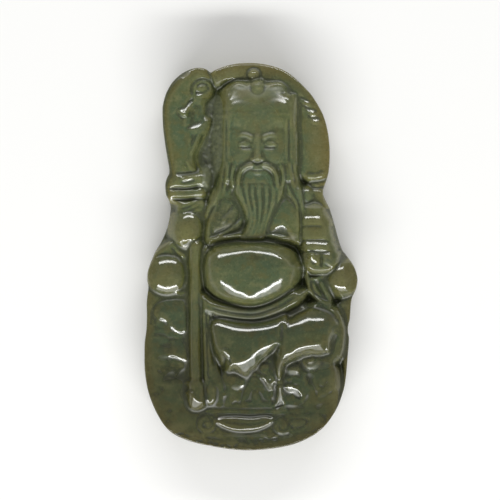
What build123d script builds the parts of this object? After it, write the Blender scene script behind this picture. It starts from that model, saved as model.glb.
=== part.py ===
from build123d import *
import os

# A jade pendant carved from one flat piece of stone: a seated bearded warrior
# in relief, a long-handled blade at his side, and a slanting hole for a cord.
# Millimetres. The stone lies on its flat back: +X runs across the carving,
# +Y towards its crown, +Z out of the carved face. The origin is under its middle.

# The stone
carving_width = 29.7
carving_height = 54.0
carving_thickness = 8.3
slab_thickness = 3.5
slab_edge_radius = 1.2

# The cord hole, drilled from the crown's edge down to the back
cord_hole_diameter = 1.5
cord_hole_slope = 34.0
cord_hole_front_wall = 0.4

# The blade, its handle and the rings between them
blade_rise = 2.4
blade_edge_chamfer = 0.4
staff_width = 1.8
staff_rise = 3.0
staff_edge_radius = 0.8

# The mantle that arches round the head
mantle_width = 5.0
mantle_rim_inset = 0.4
mantle_rise = 1.9

# The belt's two cords, and the rounded posts of the scrolls
belt_cord_width = 0.8
belt_rise = 2.5
scroll_edge_radius = 0.3

# The relief starts inside the slab, at the middle of its thickness
relief_seat = slab_thickness / 2

# Places are percentages of the carving's width (across, from its middle) and
# height (up, from its middle)
crown_run = [(-19.0, 47.2), (-12.0, 49.0), (-3.8, 50.0)]
mantle_arc = [(-3.8, 50.0), (25.4, 43.4), (34.3, 18.6)]
right_run = [
    (34.3, 18.6),
    (34.0, 16.2),
    (37.5, 11.2),
    (41.0, 5.0),
    (43.2, 1.5),
    (47.3, -1.3),
    (50.0, -5.5),
    (49.2, -8.5),
    (47.0, -12.5),
    (45.6, -18.5),
]
foot_run = [
    (45.6, -18.5),
    (45.8, -25.0),
    (45.0, -30.0),
    (43.0, -36.0),
    (38.0, -41.5),
    (30.0, -45.9),
    (20.0, -48.6),
    (8.0, -49.9),
    (-3.0, -49.95),
    (-18.0, -48.9),
    (-30.0, -46.8),
    (-38.5, -44.0),
    (-44.5, -39.5),
    (-48.3, -34.5),
    (-50.0, -27.5),
    (-49.7, -21.0),
    (-49.0, -15.0),
    (-48.7, -9.0),
]
left_run = [
    (-48.7, -9.0),
    (-48.6, -5.5),
    (-47.0, -0.8),
    (-43.0, 3.5),
    (-39.8, 8.0),
    (-38.0, 12.3),
    (-38.5, 14.7),
    (-40.0, 17.0),
    (-39.8, 20.0),
    (-38.3, 21.8),
]
blade_back_run = [
    (-38.3, 21.8),
    (-38.8, 24.0),
    (-40.0, 29.0),
    (-41.5, 35.5),
    (-40.8, 41.0),
    (-36.8, 45.0),
    (-30.0, 48.0),
    (-24.0, 48.7),
    (-20.7, 48.0),
    (-19.0, 47.2),
]

# The blade stands a little inside the slab's edge: its back and curled tip,
# the notch and spur of its spine, and the tang that goes into the rings
blade_back = [
    (-37.2, 19.4),
    (-39.2, 29.0),
    (-40.7, 35.5),
    (-40.0, 40.8),
    (-36.0, 44.7),
    (-29.6, 47.5),
    (-24.0, 48.2),
    (-19.4, 46.6),
    (-17.6, 43.5),
    (-19.6, 41.0),
    (-23.0, 40.3),
]
blade_notch = [(-23.0, 40.3), (-26.5, 39.3), (-29.6, 36.8), (-30.6, 33.0)]
blade_spur = [(-30.6, 33.0), (-22.6, 33.2)]
blade_tang = [(-22.6, 33.2), (-25.2, 30.6), (-26.8, 26.5), (-24.6, 19.4)]

# The staff runs from the hand to the foot of the robe
staff_ends = [(-26.6, 3.0), (-25.6, -39.0)]

# Each cord of the belt sags under the belly: start, lowest point, end
belt_cords = [
    [(-20.6, -11.8), (2.0, -15.4), (22.6, -10.8)],
    [(-19.4, -13.4), (2.0, -17.2), (20.8, -12.6)],
]

# Rounded forms with straight walls and a domed cap: across and up in percent, then
# half their spans in percent, the height of their crest and the depth of their cap,
# both as shares of the carving's thickness, and a turn in degrees
# name: (across, up, half_across, half_up, crest, depth, turn)
mounds = {
    "head": (3.4, 29.0, 15.4, 11.2, 0.86, 0.50, 0),
    "nose": (3.2, 26.6, 2.2, 3.4, 0.92, 0.12, 0),
    "hat_crown": (3.2, 38.2, 15.6, 4.8, 0.84, 0.48, 0),
    "hat_brim": (3.2, 35.2, 14.6, 1.6, 0.85, 0.26, 0),
    "hat_curl_left": (-7.6, 42.2, 5.2, 2.4, 0.75, 0.18, 0),
    "hat_curl_right": (13.0, 42.5, 4.8, 2.2, 0.75, 0.18, 0),
    "hat_knob": (1.7, 43.7, 3.1, 1.75, 0.80, 0.18, 0),
    "hat_finial": (-0.8, 46.9, 2.6, 1.45, 0.68, 0.14, 0),
    "moustache": (3.6, 21.9, 10.2, 2.4, 0.89, 0.20, 0),
    "beard": (3.0, 13.4, 12.4, 10.4, 0.83, 0.47, 0),
    "side_hair_left": (-13.2, 19.0, 4.0, 9.6, 0.72, 0.36, -6),
    "side_hair_right": (18.6, 20.5, 3.6, 9.0, 0.74, 0.38, 5),
    "collar_ring_upper": (-30.4, 20.2, 8.2, 1.7, 0.78, 0.42, 0),
    "collar_ring_middle": (-30.2, 17.3, 8.2, 1.6, 0.78, 0.42, 0),
    "collar_ring_lower": (-29.2, 14.4, 7.8, 1.7, 0.74, 0.38, 0),
    "lapel_left": (-13.0, 11.0, 9.2, 6.0, 0.74, 0.38, 30),
    "lapel_right": (14.2, 9.6, 9.4, 6.4, 0.78, 0.42, 0),
    "mantle_end": (24.4, 16.2, 7.8, 5.2, 0.66, 0.30, 0),
    "trunk": (1.5, 0.0, 27.5, 17.5, 0.66, 0.30, 0),
    "belly": (1.6, -4.9, 24.6, 9.6, 1.0, 0.64, 0),
    "sleeve_upper": (29.2, 8.4, 8.0, 3.8, 0.84, 0.48, 0),
    "sleeve_lower": (30.6, 3.2, 8.6, 3.0, 0.90, 0.54, 0),
    "fist": (31.2, -1.2, 8.2, 3.4, 0.88, 0.52, 0),
    "ribbon": (32.0, -8.0, 7.0, 4.2, 0.70, 0.34, -20),
    "pearl_right": (41.6, -5.6, 6.6, 4.1, 0.80, 0.44, 0),
    "hand_left": (-29.4, 7.0, 7.6, 5.4, 0.86, 0.50, 0),
    "pearl_left": (-38.8, -4.7, 8.0, 4.6, 0.81, 0.45, 0),
    "knee_guard": (-37.6, -15.6, 9.8, 5.0, 0.79, 0.43, 0),
    "knee_fold": (-37.0, -23.0, 9.8, 2.8, 0.72, 0.36, -6),
    "rock": (-36.6, -32.8, 8.2, 6.6, 0.56, 0.20, 0),
    "robe_fold": (-19.4, -24.6, 5.0, 15.4, 0.80, 0.44, 2),
    "lap": (-1.6, -21.8, 18.4, 9.2, 0.91, 0.55, 0),
    "knee": (27.4, -19.2, 14.4, 8.2, 0.96, 0.60, 0),
    "shin": (27.2, -29.0, 13.0, 8.4, 0.85, 0.49, 0),
    "apron": (-1.0, -31.4, 17.0, 7.6, 0.82, 0.46, 0),
    "boot_left": (2.8, -35.8, 7.8, 4.6, 0.85, 0.49, 0),
    "boot_right": (22.2, -34.8, 7.0, 4.6, 0.85, 0.49, -8),
    "robe_tip": (33.6, -33.4, 7.0, 5.4, 0.70, 0.34, -22),
    "seat_ledge": (-1.6, -40.8, 34.0, 2.6, 0.68, 0.32, 0),
    "seat_bar": (-2.4, -43.6, 12.8, 2.4, 0.67, 0.31, 0),
    "seat_leaf": (25.4, -42.4, 8.0, 2.4, 0.60, 0.24, 6),
}

# Scrolls are short round posts: across, up, their radius as a share of the width,
# and their height as a share of the thickness
# name: (across, up, radius, height)
scrolls = {
    "blade_curl": (-22.6, 44.0, 0.036, 0.74),
    "hem_curl_left": (-7.6, -30.8, 0.034, 0.80),
    "hem_curl_right": (27.4, -26.6, 0.034, 0.89),
    "seat_curl_left": (-20.4, -43.2, 0.044, 0.56),
    "seat_curl_right": (14.2, -43.8, 0.044, 0.56),
}


def place(across, up):
    return across * carving_width / 100, up * carving_height / 100


def places(run):
    return [place(*point) for point in run]


def mound(across, up, half_across, half_up, crest, depth, turn):
    half_x, half_y = place(half_across, half_up)
    radius = min(half_x, half_y)
    straight = max(half_x, half_y) - radius
    top = crest * carving_thickness - relief_seat
    cap_depth = min(depth * carving_thickness, radius)
    cap_radius = (radius**2 + cap_depth**2) / (2 * cap_depth)
    with BuildSketch() as half_section:
        with BuildLine():
            Polyline((0, top), (0, 0), (radius, 0), (radius, top - cap_depth))
            RadiusArc((radius, top - cap_depth), (0, top), -cap_radius)
        make_face()
    with BuildPart() as form:
        with BuildSketch(Plane.XZ.offset(-straight)):
            add(half_section)
        revolve(axis=Axis((0, straight, 0), (0, 0, 1)), revolution_arc=180)
        with BuildSketch(Plane.XZ.offset(straight)):
            add(half_section)
        revolve(axis=Axis((0, -straight, 0), (0, 0, 1)), revolution_arc=-180)
        if straight > 0:
            with BuildSketch(Plane.XZ):
                add(half_section)
                mirror(about=Plane.YZ)
            extrude(amount=straight, both=True)
    quarter_turn = 90 if half_x > half_y else 0
    return form.part.moved(Location((*place(across, up), relief_seat), (0, 0, turn + quarter_turn)))


# The slab has the whole carving's outline
with BuildPart() as slab:
    with BuildSketch():
        with BuildLine():
            Spline(*places(crown_run), tangents=[(1, 0.35), (1, 0)])
            mantle_edge = ThreePointArc(*places(mantle_arc))
            for run in (right_run, foot_run, left_run, blade_back_run):
                Spline(*places(run))
        make_face()
    extrude(amount=slab_thickness)
    fillet(slab.faces().sort_by(Axis.Z)[-1].edges(), slab_edge_radius)
    fillet(slab.faces().sort_by(Axis.Z)[0].edges(), slab_edge_radius)

# The mantle is a rounded band that follows the slab's arc
mantle_centre = mantle_edge.arc_center
mantle_start = (mantle_edge @ 1) - mantle_centre
with BuildPart() as mantle:
    mantle_plane = Plane(
        origin=(mantle_centre.X, mantle_centre.Y, relief_seat),
        x_dir=(mantle_start.X, mantle_start.Y, 0),
        z_dir=(mantle_start.Y, -mantle_start.X, 0),
    )
    with BuildSketch(mantle_plane):
        with Locations((mantle_edge.radius - mantle_rim_inset - mantle_width / 2, 0)):
            Ellipse(mantle_width / 2, slab_thickness - relief_seat + mantle_rise)
    revolve(axis=Axis((mantle_centre.X, mantle_centre.Y, 0), (0, 0, 1)), revolution_arc=150)

with BuildPart() as blade:
    with BuildSketch(Plane.XY.offset(relief_seat)):
        with BuildLine():
            for run in (blade_back, blade_notch, blade_tang):
                Spline(*places(run))
            Line(*places(blade_spur))
            Line(place(*blade_tang[-1]), place(*blade_back[0]))
        make_face()
    extrude(amount=slab_thickness - relief_seat + blade_rise)
    chamfer(blade.faces().sort_by(Axis.Z)[-1].edges(), blade_edge_chamfer)

with BuildPart() as staff:
    with BuildSketch(Plane.XY.offset(relief_seat)):
        with BuildLine():
            Line(*places(staff_ends))
        trace(line_width=staff_width)
    extrude(amount=slab_thickness - relief_seat + staff_rise)
    fillet(staff.faces().sort_by(Axis.Z)[-1].edges(), staff_edge_radius)

with BuildPart() as belt:
    with BuildSketch(Plane.XY.offset(relief_seat)):
        for cord in belt_cords:
            with BuildLine():
                ThreePointArc(*places(cord))
            trace(line_width=belt_cord_width)
    extrude(amount=slab_thickness - relief_seat + belt_rise)

with BuildPart() as scroll_posts:
    for across, up, radius, height in scrolls.values():
        with BuildSketch(Plane.XY.offset(relief_seat)):
            with Locations(place(across, up)):
                Circle(radius * carving_width)
        extrude(amount=height * carving_thickness - relief_seat)
    fillet(scroll_posts.faces().filter_by(Plane.XY).sort_by(Axis.Z)[5:].edges(), scroll_edge_radius)

# One solid: the forms are fused, cut flat at the back, and drilled for the cord
relief = [mantle.part, blade.part, staff.part, belt.part, scroll_posts.part]
relief += [mound(*form) for form in mounds.values()]
mouth_height = slab_thickness - cord_hole_front_wall - cord_hole_diameter / 2
with BuildPart() as cutters:
    with Locations((0, 0, -carving_thickness)):
        Box(2 * carving_width, 2 * carving_height, 2 * carving_thickness)
    mouth = Plane(
        origin=(*place(*crown_run[-1]), mouth_height),
        z_dir=Vector(0, 1, 0).rotate(Axis.X, cord_hole_slope),
    )
    with Locations(mouth):
        Cylinder(cord_hole_diameter / 2, carving_width)
with BuildPart() as jade_carving:
    add(slab)
    add(relief, clean=False)
    add(cutters, mode=Mode.SUBTRACT, clean=False)

jade_carving.part.label = "jade_carving"
os.makedirs("parts", exist_ok=True)
export_step(jade_carving.part, "parts/jade_carving.step")

box = jade_carving.part.bounding_box()
print("box", box.min, box.max)
print("volume", jade_carving.part.volume, "solids", len(jade_carving.part.solids()))
print("valid", jade_carving.part.is_valid, "hole mouth", mouth.origin, "axis", mouth.z_dir)
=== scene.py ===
import math

import bpy
import numpy as np
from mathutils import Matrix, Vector
from mathutils.geometry import delaunay_2d_cdt


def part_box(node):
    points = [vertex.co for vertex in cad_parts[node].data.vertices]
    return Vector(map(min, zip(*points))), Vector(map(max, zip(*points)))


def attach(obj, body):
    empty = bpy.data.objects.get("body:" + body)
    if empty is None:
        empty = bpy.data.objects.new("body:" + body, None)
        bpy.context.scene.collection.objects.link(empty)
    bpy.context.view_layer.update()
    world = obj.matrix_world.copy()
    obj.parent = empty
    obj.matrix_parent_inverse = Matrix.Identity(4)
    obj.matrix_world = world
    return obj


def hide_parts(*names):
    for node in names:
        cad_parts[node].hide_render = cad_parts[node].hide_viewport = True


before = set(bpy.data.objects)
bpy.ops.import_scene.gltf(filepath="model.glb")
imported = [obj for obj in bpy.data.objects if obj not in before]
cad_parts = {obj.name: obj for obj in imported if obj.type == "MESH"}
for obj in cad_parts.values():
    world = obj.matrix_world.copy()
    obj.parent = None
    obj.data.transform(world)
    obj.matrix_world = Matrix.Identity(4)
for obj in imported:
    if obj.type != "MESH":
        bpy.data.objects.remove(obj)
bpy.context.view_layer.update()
stoneLow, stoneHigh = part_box("jade_carving")
print("frame loaded")

# Relief: the carved face is a height map over the photograph's pixels. Places
# and widths are in pixels, heights in millimetres above the flat back.
carvingMap = {
    "left": 145.0, "top": 64.0, "width": 212.0, "tall": 385.0,   # the stone in the photograph
    "pixel": 0.1402,      # mm
    "cell": 0.5,          # pixels between two heights
    "margin": 8.0,        # empty border round the stone
    "ground": 3.1,        # the slab that the figure stands out of
    "rimReach": 32.0,     # the distance to the rim is known this far in
}
cell, mmPerPixel = carvingMap["cell"], carvingMap["pixel"]
mapX = np.arange(carvingMap["left"] - carvingMap["margin"],
                 carvingMap["left"] + carvingMap["width"] + carvingMap["margin"], cell)
mapY = np.arange(carvingMap["top"] - carvingMap["margin"],
                 carvingMap["top"] + carvingMap["tall"] + carvingMap["margin"], cell)
px, py = np.meshgrid(mapX, mapY)
relief = np.full(px.shape, carvingMap["ground"])


def smoothLine(points, closed=False, parts=7):
    points = np.array(points, float)
    count = len(points)
    share = np.arange(parts)[:, None] / parts
    line = []
    for i in range(count if closed else count - 1):
        if closed:
            before, start, end, after = (points[(i + k) % count] for k in (-1, 0, 1, 2))
        else:
            start, end = points[i], points[i + 1]
            before = points[i - 1] if i else 2 * start - end
            after = points[i + 2] if i + 2 < count else 2 * end - start
        line.append(0.5 * (2 * start + (end - before) * share
                           + (2 * before - 5 * start + 4 * end - after) * share**2
                           + (3 * start - before - 3 * end + after) * share**3))
    line.append(points[:1] if closed else points[-1:])
    return np.vstack(line)


def windowOf(xLow, xHigh, yLow, yHigh):
    cols = np.clip([int((xLow - mapX[0]) / cell), int((xHigh - mapX[0]) / cell) + 2], 0, len(mapX))
    rows = np.clip([int((yLow - mapY[0]) / cell), int((yHigh - mapY[0]) / cell) + 2], 0, len(mapY))
    return slice(rows[0], rows[1]), slice(cols[0], cols[1])


def windowAround(line, reach):
    low, high = line.min(axis=0) - reach, line.max(axis=0) + reach
    return windowOf(low[0], high[0], low[1], high[1])


# distance to a line and how far along it (0 to 1), near the line only
def nearLine(line, reach):
    window = windowAround(line, reach)
    distance = np.full(px[window].shape, 1e3)
    along = np.zeros(distance.shape)
    lengths = np.hypot(*(line[1:] - line[:-1]).T)
    travelled = np.concatenate([[0], np.cumsum(lengths)]) / max(lengths.sum(), 1e-9)
    row0, col0 = window[0].start, window[1].start
    for i, length in enumerate(lengths):
        if length < 1e-6:
            continue
        (ax, ay), (bx, by) = line[i], line[i + 1]
        rows, cols = windowOf(min(ax, bx) - reach, max(ax, bx) + reach,
                              min(ay, by) - reach, max(ay, by) + reach)
        inner = (slice(rows.start - row0, rows.stop - row0),
                 slice(cols.start - col0, cols.stop - col0))
        dx, dy = (bx - ax) / length, (by - ay) / length
        x, y = px[rows, cols] - ax, py[rows, cols] - ay
        reached = np.clip(x * dx + y * dy, 0, length)
        gap = np.hypot(x - reached * dx, y - reached * dy)
        closer = gap < distance[inner]
        distance[inner] = np.where(closer, gap, distance[inner])
        share = travelled[i] + (travelled[i + 1] - travelled[i]) * reached / length
        along[inner] = np.where(closer, share, along[inner])
    return window, distance, along


def insideOf(line, window):
    x, y = px[window], py[window]
    inside = np.zeros(x.shape, bool)
    for (ax, ay), (bx, by) in zip(line, line[1:]):
        if ay == by:
            continue
        hit = (y[:, 0] >= min(ay, by)) & (y[:, 0] < max(ay, by))
        crossing = ax + (y[hit, 0] - ay) * (bx - ax) / (by - ay)
        inside[hit] ^= x[hit] > crossing[:, None]
    return inside


def fade(value):
    value = np.clip(value, 0, 1)
    return value * value * (3 - 2 * value)


def roundTo(value):
    return np.sqrt(1 - (1 - np.clip(value, 0, 1))**2)


def riseTo(window, target, blend):
    now = relief[window]
    mix = np.clip(0.5 + 0.5 * (target - now) / blend, 0, 1)
    relief[window] = now + (target - now) * mix + blend * mix * (1 - mix)


# taper thins a stroke towards its two ends, over these shares of its length
def strength(along, taper):
    start = fade(along / taper[0]) if taper[0] else 1.0
    end = fade((1 - along) / taper[1]) if taper[1] else 1.0
    return start * end


# a stroke rises from the stone by rise, or is cut into it, over width pixels at each side
def ridge(points, width, rise, taper=(0.25, 0.25), closed=False):
    window, distance, along = nearLine(smoothLine(points, closed), width + 1)
    amount = 1.0 if closed else strength(along, taper)
    reach = np.clip(distance / (width * (0.45 + 0.55 * amount)), 0, 1)
    relief[window] += rise * amount * (1 - reach**2)**2


def groove(points, width, depth, taper=(0.25, 0.25)):
    ridge(points, width, -depth, taper)


def ringGroove(points, width, depth):
    ridge(points, width, -depth, closed=True)


# a rounded band at its own height, which runs from crest to end
def rod(points, width, crest, depth, blend=0.2, end=None):
    window, distance, along = nearLine(smoothLine(points), width + 3)
    top = crest if end is None else crest + (end - crest) * along
    riseTo(window, top - depth * (distance / width)**2, blend)


def dome(centre, half, crest, depth, blend=0.25, power=2.0, turn=0):
    reach = max(half) + 4
    window = windowOf(centre[0] - reach, centre[0] + reach, centre[1] - reach, centre[1] + reach)
    x, y = px[window] - centre[0], py[window] - centre[1]
    c, s = math.cos(math.radians(turn)), math.sin(math.radians(turn))
    u, v = np.abs((x * c + y * s) / half[0]), np.abs((y * c - x * s) / half[1])
    far = (u**power + v**power)**(1 / power)
    riseTo(window, crest - depth * far**2, blend)


# a raised form with any outline, rounded down at its edge; fall says how far its top
# has dropped from the crest at a place
def form(points, crest, depth, edge, blend=0.25, fall=None):
    line = smoothLine(points, True)
    window, distance, _ = nearLine(line, edge + 4)
    top = crest - fall(px[window], py[window]) if fall else crest
    target = np.where(insideOf(line, window), top - depth * (1 - roundTo(distance / edge)),
                      top - depth - distance * 0.9)
    riseTo(window, target, blend)


# a hollow down to its own level, and one that follows what is there
def sink(points, level, edge):
    line = smoothLine(points, True)
    window, distance, _ = nearLine(line, edge + 1)
    amount = np.where(insideOf(line, window), fade(distance / edge), 0)
    relief[window] += (np.minimum(relief[window], level) - relief[window]) * amount


def press(points, depth, edge):
    line = smoothLine(points, True)
    window, distance, _ = nearLine(line, edge + 1)
    relief[window] -= np.where(insideOf(line, window), fade(distance / edge), 0) * depth


# a small plane that leans by tilt (mm per mm, to the right and down), cut or raised
# through the height at its middle
def facet(points, tilt, edge, lift=0.0):
    line = smoothLine(points, True)
    window, distance, _ = nearLine(line, edge + 1)
    inside = insideOf(line, window)
    x, y = px[window][inside], py[window][inside]
    plane = (relief[window][inside].mean() + lift + tilt[0] * (px[window] - x.mean()) * mmPerPixel
             + tilt[1] * (py[window] - y.mean()) * mmPerPixel)
    relief[window] += (plane - relief[window]) * np.where(inside, fade(distance / edge), 0)


# A piece's strokes are rows of the tool, its line, outline or middle, and its measures
# in the order above: width, rise or depth and taper for ridge and groove; width, crest,
# depth and blend for rod; half widths, crest, depth, blend, power and turn for dome;
# crest, depth, edge, blend and fall for form; tilt, edge and lift for facet
def carve(*groups):
    for strokes in groups:
        for tool, *measures in strokes:
            tool(*measures)


# lines that are each a ridge with a furrow beside it
def carveStrands(strands):
    moveX, moveY = strands["aside"]
    for line in strands["lines"]:
        ridge(line, *strands["ridge"])
        groove([(x + moveX, y + moveY) for x, y in line], *strands["furrow"])


# strokes for both sides of the head, with x counted outward from its axis
def carveBothSides(axis, strokes):
    for way in (-1, 1):
        for tool, place, *measures in strokes:
            if isinstance(place, list):
                tool([(axis + way * x, y) for x, y in place], *measures)
            else:
                tool((axis + way * place[0], place[1]), *measures)


# the falls that a form can have: evenly below or above a row or left of a column, round
# a middle (downShare 0 is sideways only), past an edge that runs from left to right, or
# several at once
def fallBelow(row, slope, limit=40):
    return lambda x, y: slope * np.clip(y - row, 0, limit)


def fallAbove(row, slope, limit=30):
    return lambda x, y: slope * np.clip(row - y, 0, limit)


def fallLeftOf(column, slope, limit=30):
    return lambda x, y: slope * np.clip(column - x, 0, limit)


def fallRound(middle, amount, downShare=1.0):
    return lambda x, y: amount * ((x - middle[0])**2 + (y - middle[1])**2 * downShare)


# the edge's softness is in pixels; bevel pixels have the first slope, the next ones the
# second, for as many pixels as the third number says, and the rest the last (mm per mm)
def fallPast(edge, slopes, bevel):
    line = smoothLine(edge)
    first, second, secondWide, last = slopes
    softness = 0.7

    def dropped(x, y):
        level = np.interp(x, line[:, 0], line[:, 1])
        lean = np.interp(x, line[:, 0], np.gradient(line[:, 1], line[:, 0]))
        below = (y - level) / np.sqrt(1 + lean**2)
        below = np.where(below < softness, 0.18 * np.clip(below + softness, 0, 2)**2, below)
        return mmPerPixel * (first * np.clip(below, 0, bevel)
                             + second * np.clip(below - bevel, 0, secondWide)
                             + last * np.clip(below - bevel - secondWide, 0, 60))
    return dropped


def allOf(*falls):
    return lambda x, y: sum(fall(x, y) for fall in falls)


def ringLine(centre, radius, start=0, end=360, squash=1.0, turn=0):
    angles = np.radians(np.linspace(start, end, max(int(abs(end - start) / 20), 4) + 1))
    x, y = radius * np.cos(angles), -radius * squash * np.sin(angles)
    c, s = math.cos(math.radians(turn)), math.sin(math.radians(turn))
    return [(centre[0] + a * c + b * s, centre[1] - a * s + b * c) for a, b in zip(x, y)]


def spiralLine(centre, inner, outer, start, turns):
    share = np.linspace(0, 1, int(abs(turns) * 16) + 2)
    angles = np.radians(start) + share * turns * 2 * math.pi
    radius = inner + (outer - inner) * share
    return [(centre[0] + r * math.cos(a), centre[1] - r * math.sin(a))
            for r, a in zip(radius, angles)]


def blurred(field, radius):
    size = int(math.ceil(radius * 3 / cell))
    taps = np.exp(-0.5 * (np.arange(-size, size + 1) * cell / radius)**2)
    taps /= taps.sum()
    for axisOf in (0, 1):
        border = [(size, size) if axisOf == k else (0, 0) for k in (0, 1)]
        padded = np.pad(field, border, mode="edge")
        field = sum(tap * np.take(padded, range(i, i + field.shape[axisOf]), axis=axisOf)
                    for i, tap in enumerate(taps))
    return field


# The stone's outline, clockwise from the notch beside the blade's tip
outline = {
    "mantle": [(211, 73.5), (214, 71.8), (223, 68), (235, 65), (247, 64), (256, 64.2), (268, 66),
               (281, 70), (291, 76), (298, 82), (305, 89), (310.5, 95), (315, 101.5), (320, 110),
               (324, 119), (327, 130), (328.8, 142), (329.4, 154), (329, 166), (327.8, 175),
               (325.6, 182), (323.4, 188), (322.8, 191), (323.2, 196)],
    "right": [(326, 202), (329.4, 209), (332.6, 219), (336, 231), (339, 242), (342, 250), (347, 256.5),
              (351.5, 263), (354.6, 269), (356.4, 275), (357, 280), (356, 287), (353.6, 293),
              (351.4, 298), (350.2, 306), (349.4, 318), (347.6, 326), (347.6, 332), (348.6, 338),
              (348, 348), (346.8, 362), (345.8, 374), (344, 386), (341, 396)],
    "foot": [(337.6, 405), (332.6, 414), (325.6, 423.5), (317, 431.5), (309, 436.5), (298, 441.5),
             (286, 445), (270, 447.6), (252, 449), (240, 448.8), (226, 447.4), (210, 444.6),
             (195, 441.4), (182, 437), (172, 431.5), (164.5, 424), (157.6, 413), (152.6, 402)],
    "left": [(148.8, 391), (146.6, 380), (145.2, 368), (145, 354), (145.2, 342), (146.8, 330),
             (147.4, 316), (147.2, 303), (148, 294), (148.8, 287), (147.8, 280), (148, 273), (149.6, 267),
             (152, 260.5), (156, 251), (161.4, 242), (166, 232), (169, 222), (170.6, 212),
             (170.8, 206), (169, 200), (166.6, 195), (165.8, 188), (166, 183), (167.6, 178)],
    "blade": [(169.6, 174), (169.6, 168), (167.4, 156), (165.2, 142), (163.6, 128), (163, 114),
              (163.4, 106), (166, 96), (169.6, 88.4), (174, 82), (180.4, 76.2), (187.6, 71.8),
              (195, 69.4), (201, 69), (206.4, 70.4)],
}
rim = smoothLine(sum(outline.values(), []), closed=True, parts=5)
rimWindow = (slice(0, len(mapY)), slice(0, len(mapX)))
rimReach = carvingMap["rimReach"]
fullDistance = np.full(px.shape, rimReach)
fullDistance[windowAround(rim, rimReach)] = np.minimum(nearLine(rim, rimReach)[1], rimReach)
inStone = insideOf(rim, rimWindow)

# Thin ground beside the sleeves, left and right, and one gently swelling ground under
# the knees, the rocks and the seat
groundForm = {
    "strokes": [
        (sink, [(172, 196), (175.5, 206), (176, 218), (173.5, 229), (171, 240), (164, 249), (157, 259),
         (150, 264), (130, 268), (140, 230), (156, 208), (160, 198)], 3.5, 8.0),
        (sink, [(326, 203), (330, 215), (334, 230), (337, 244), (341, 254), (347, 259), (370, 262),
         (360, 230), (344, 200), (334, 196)], 3.55, 8.0),
        (form, [(110, 292), (150, 288), (192, 286), (204, 330), (206, 398), (332, 398), (336, 320),
         (340, 300), (380, 296), (380, 500), (110, 500)], 4.25, 0.3, 14, 0.3),
    ],
}
carve(groundForm["strokes"])

# The mantle arches from the notch over the head and down to the right shoulder
mantleForm = {
    "centre": (243, 151), "radius": 87.5,
    "crest": 4.7, "crestTop": 4.5,             # mm, at the side and over the head
    "depth": 0.8, "edge": 5, "blend": 0.2,
    "crestAt": (66, 74),                       # radius of the crest, side and top
    "sideFrom": 5, "sideOver": 60,             # degrees over which the top becomes the side
    "inward": 0.45, "inwardOver": 20, "outward": 0.42,       # falls from the crest
    "endFall": 0.9, "endFrom": 22, "endOver": 34,            # at the shoulder
    "outline": [(318, 191), (306, 184), (298, 176), (294.5, 165), (293.5, 142), (293, 120),
                (290.5, 104), (284, 93), (273, 86), (262, 83.5), (248, 82.5), (235, 82), (225, 84.5),
                (217, 88), (212, 80), (206, 66), (212, 48), (250, 40), (305, 50), (350, 96), (352, 160),
                (336, 194)],
    "scuffs": [
        (facet, [(299, 97), (305, 98.6), (310, 102.6), (309, 107), (302, 104.4)], (-0.2, 0.59), 1.6,
         -0.03),
        (facet, [(302.4, 105), (309, 108), (315.6, 110), (314, 117.4), (307, 113.6)], (-0.2, 0.59), 1.6,
         -0.03),
        (facet, [(306, 114), (311.4, 117), (318.6, 117.4), (321.6, 123.4), (314, 125.6),
         (308.6, 121.4)], (-0.2, 0.59), 1.6, -0.03),
    ],
    "endFolds": [
        (ridge, [(302, 176), (310, 177.5), (318, 177), (328, 173)], 3.4, 0.3),
        (groove, [(297, 180), (306, 182), (316, 182.5), (328, 180)], 2.4, 0.16, (0.3, 0.05)),
        (ridge, [(303, 186.5), (313, 187), (322, 186)], 3.2, 0.22),
        (groove, [(296, 186), (305, 191), (315, 193), (326, 193)], 2.4, 0.16, (0.3, 0.05)),
    ],
}
mantleX, mantleY = mantleForm["centre"]


def mantleFall(x, y):
    arc = np.hypot(x - mantleX, y - mantleY)
    turned = np.degrees(np.arctan2(x - mantleX, mantleY - y))
    sideShare = fade((turned + mantleForm["sideFrom"]) / mantleForm["sideOver"])
    sideCrest, topCrest = mantleForm["crestAt"]
    crestRadius = topCrest + (sideCrest - topCrest) * sideShare
    past = (arc - crestRadius) / (mantleForm["radius"] - crestRadius)
    fall = (mantleForm["crest"] - mantleForm["crestTop"]) * (1 - sideShare)
    fall += mantleForm["inward"] * fade((crestRadius - arc) / mantleForm["inwardOver"])
    fall += mantleForm["outward"] * np.clip(past, 0, 1.3)**2
    return fall + mantleForm["endFall"] * fade((y - mantleY - mantleForm["endFrom"])
                                               / mantleForm["endOver"])


form(mantleForm["outline"], mantleForm["crest"], mantleForm["depth"], mantleForm["edge"],
     mantleForm["blend"], mantleFall)
carve(mantleForm["scuffs"], mantleForm["endFolds"])
print("mantle carved")

# The ground between the blade and the head is sunk and left unpolished
sunkGround = {
    "level": 3.5, "edge": 3.0,
    "bumps": (0.9, 0.06), "bumpEdge": 1.2,     # width in pixels and height in mm, and pixels
    "outline": [(205.5, 107), (211, 101), (218, 95), (222.5, 104), (223, 122), (222.5, 136), (223, 150),
                (221.5, 164), (217, 176), (212, 186), (206, 193), (202.5, 183), (203.5, 174),
                (199.5, 164), (199, 155), (203, 144), (208, 134), (211.4, 126), (212, 119), (206, 115)],
}

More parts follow.
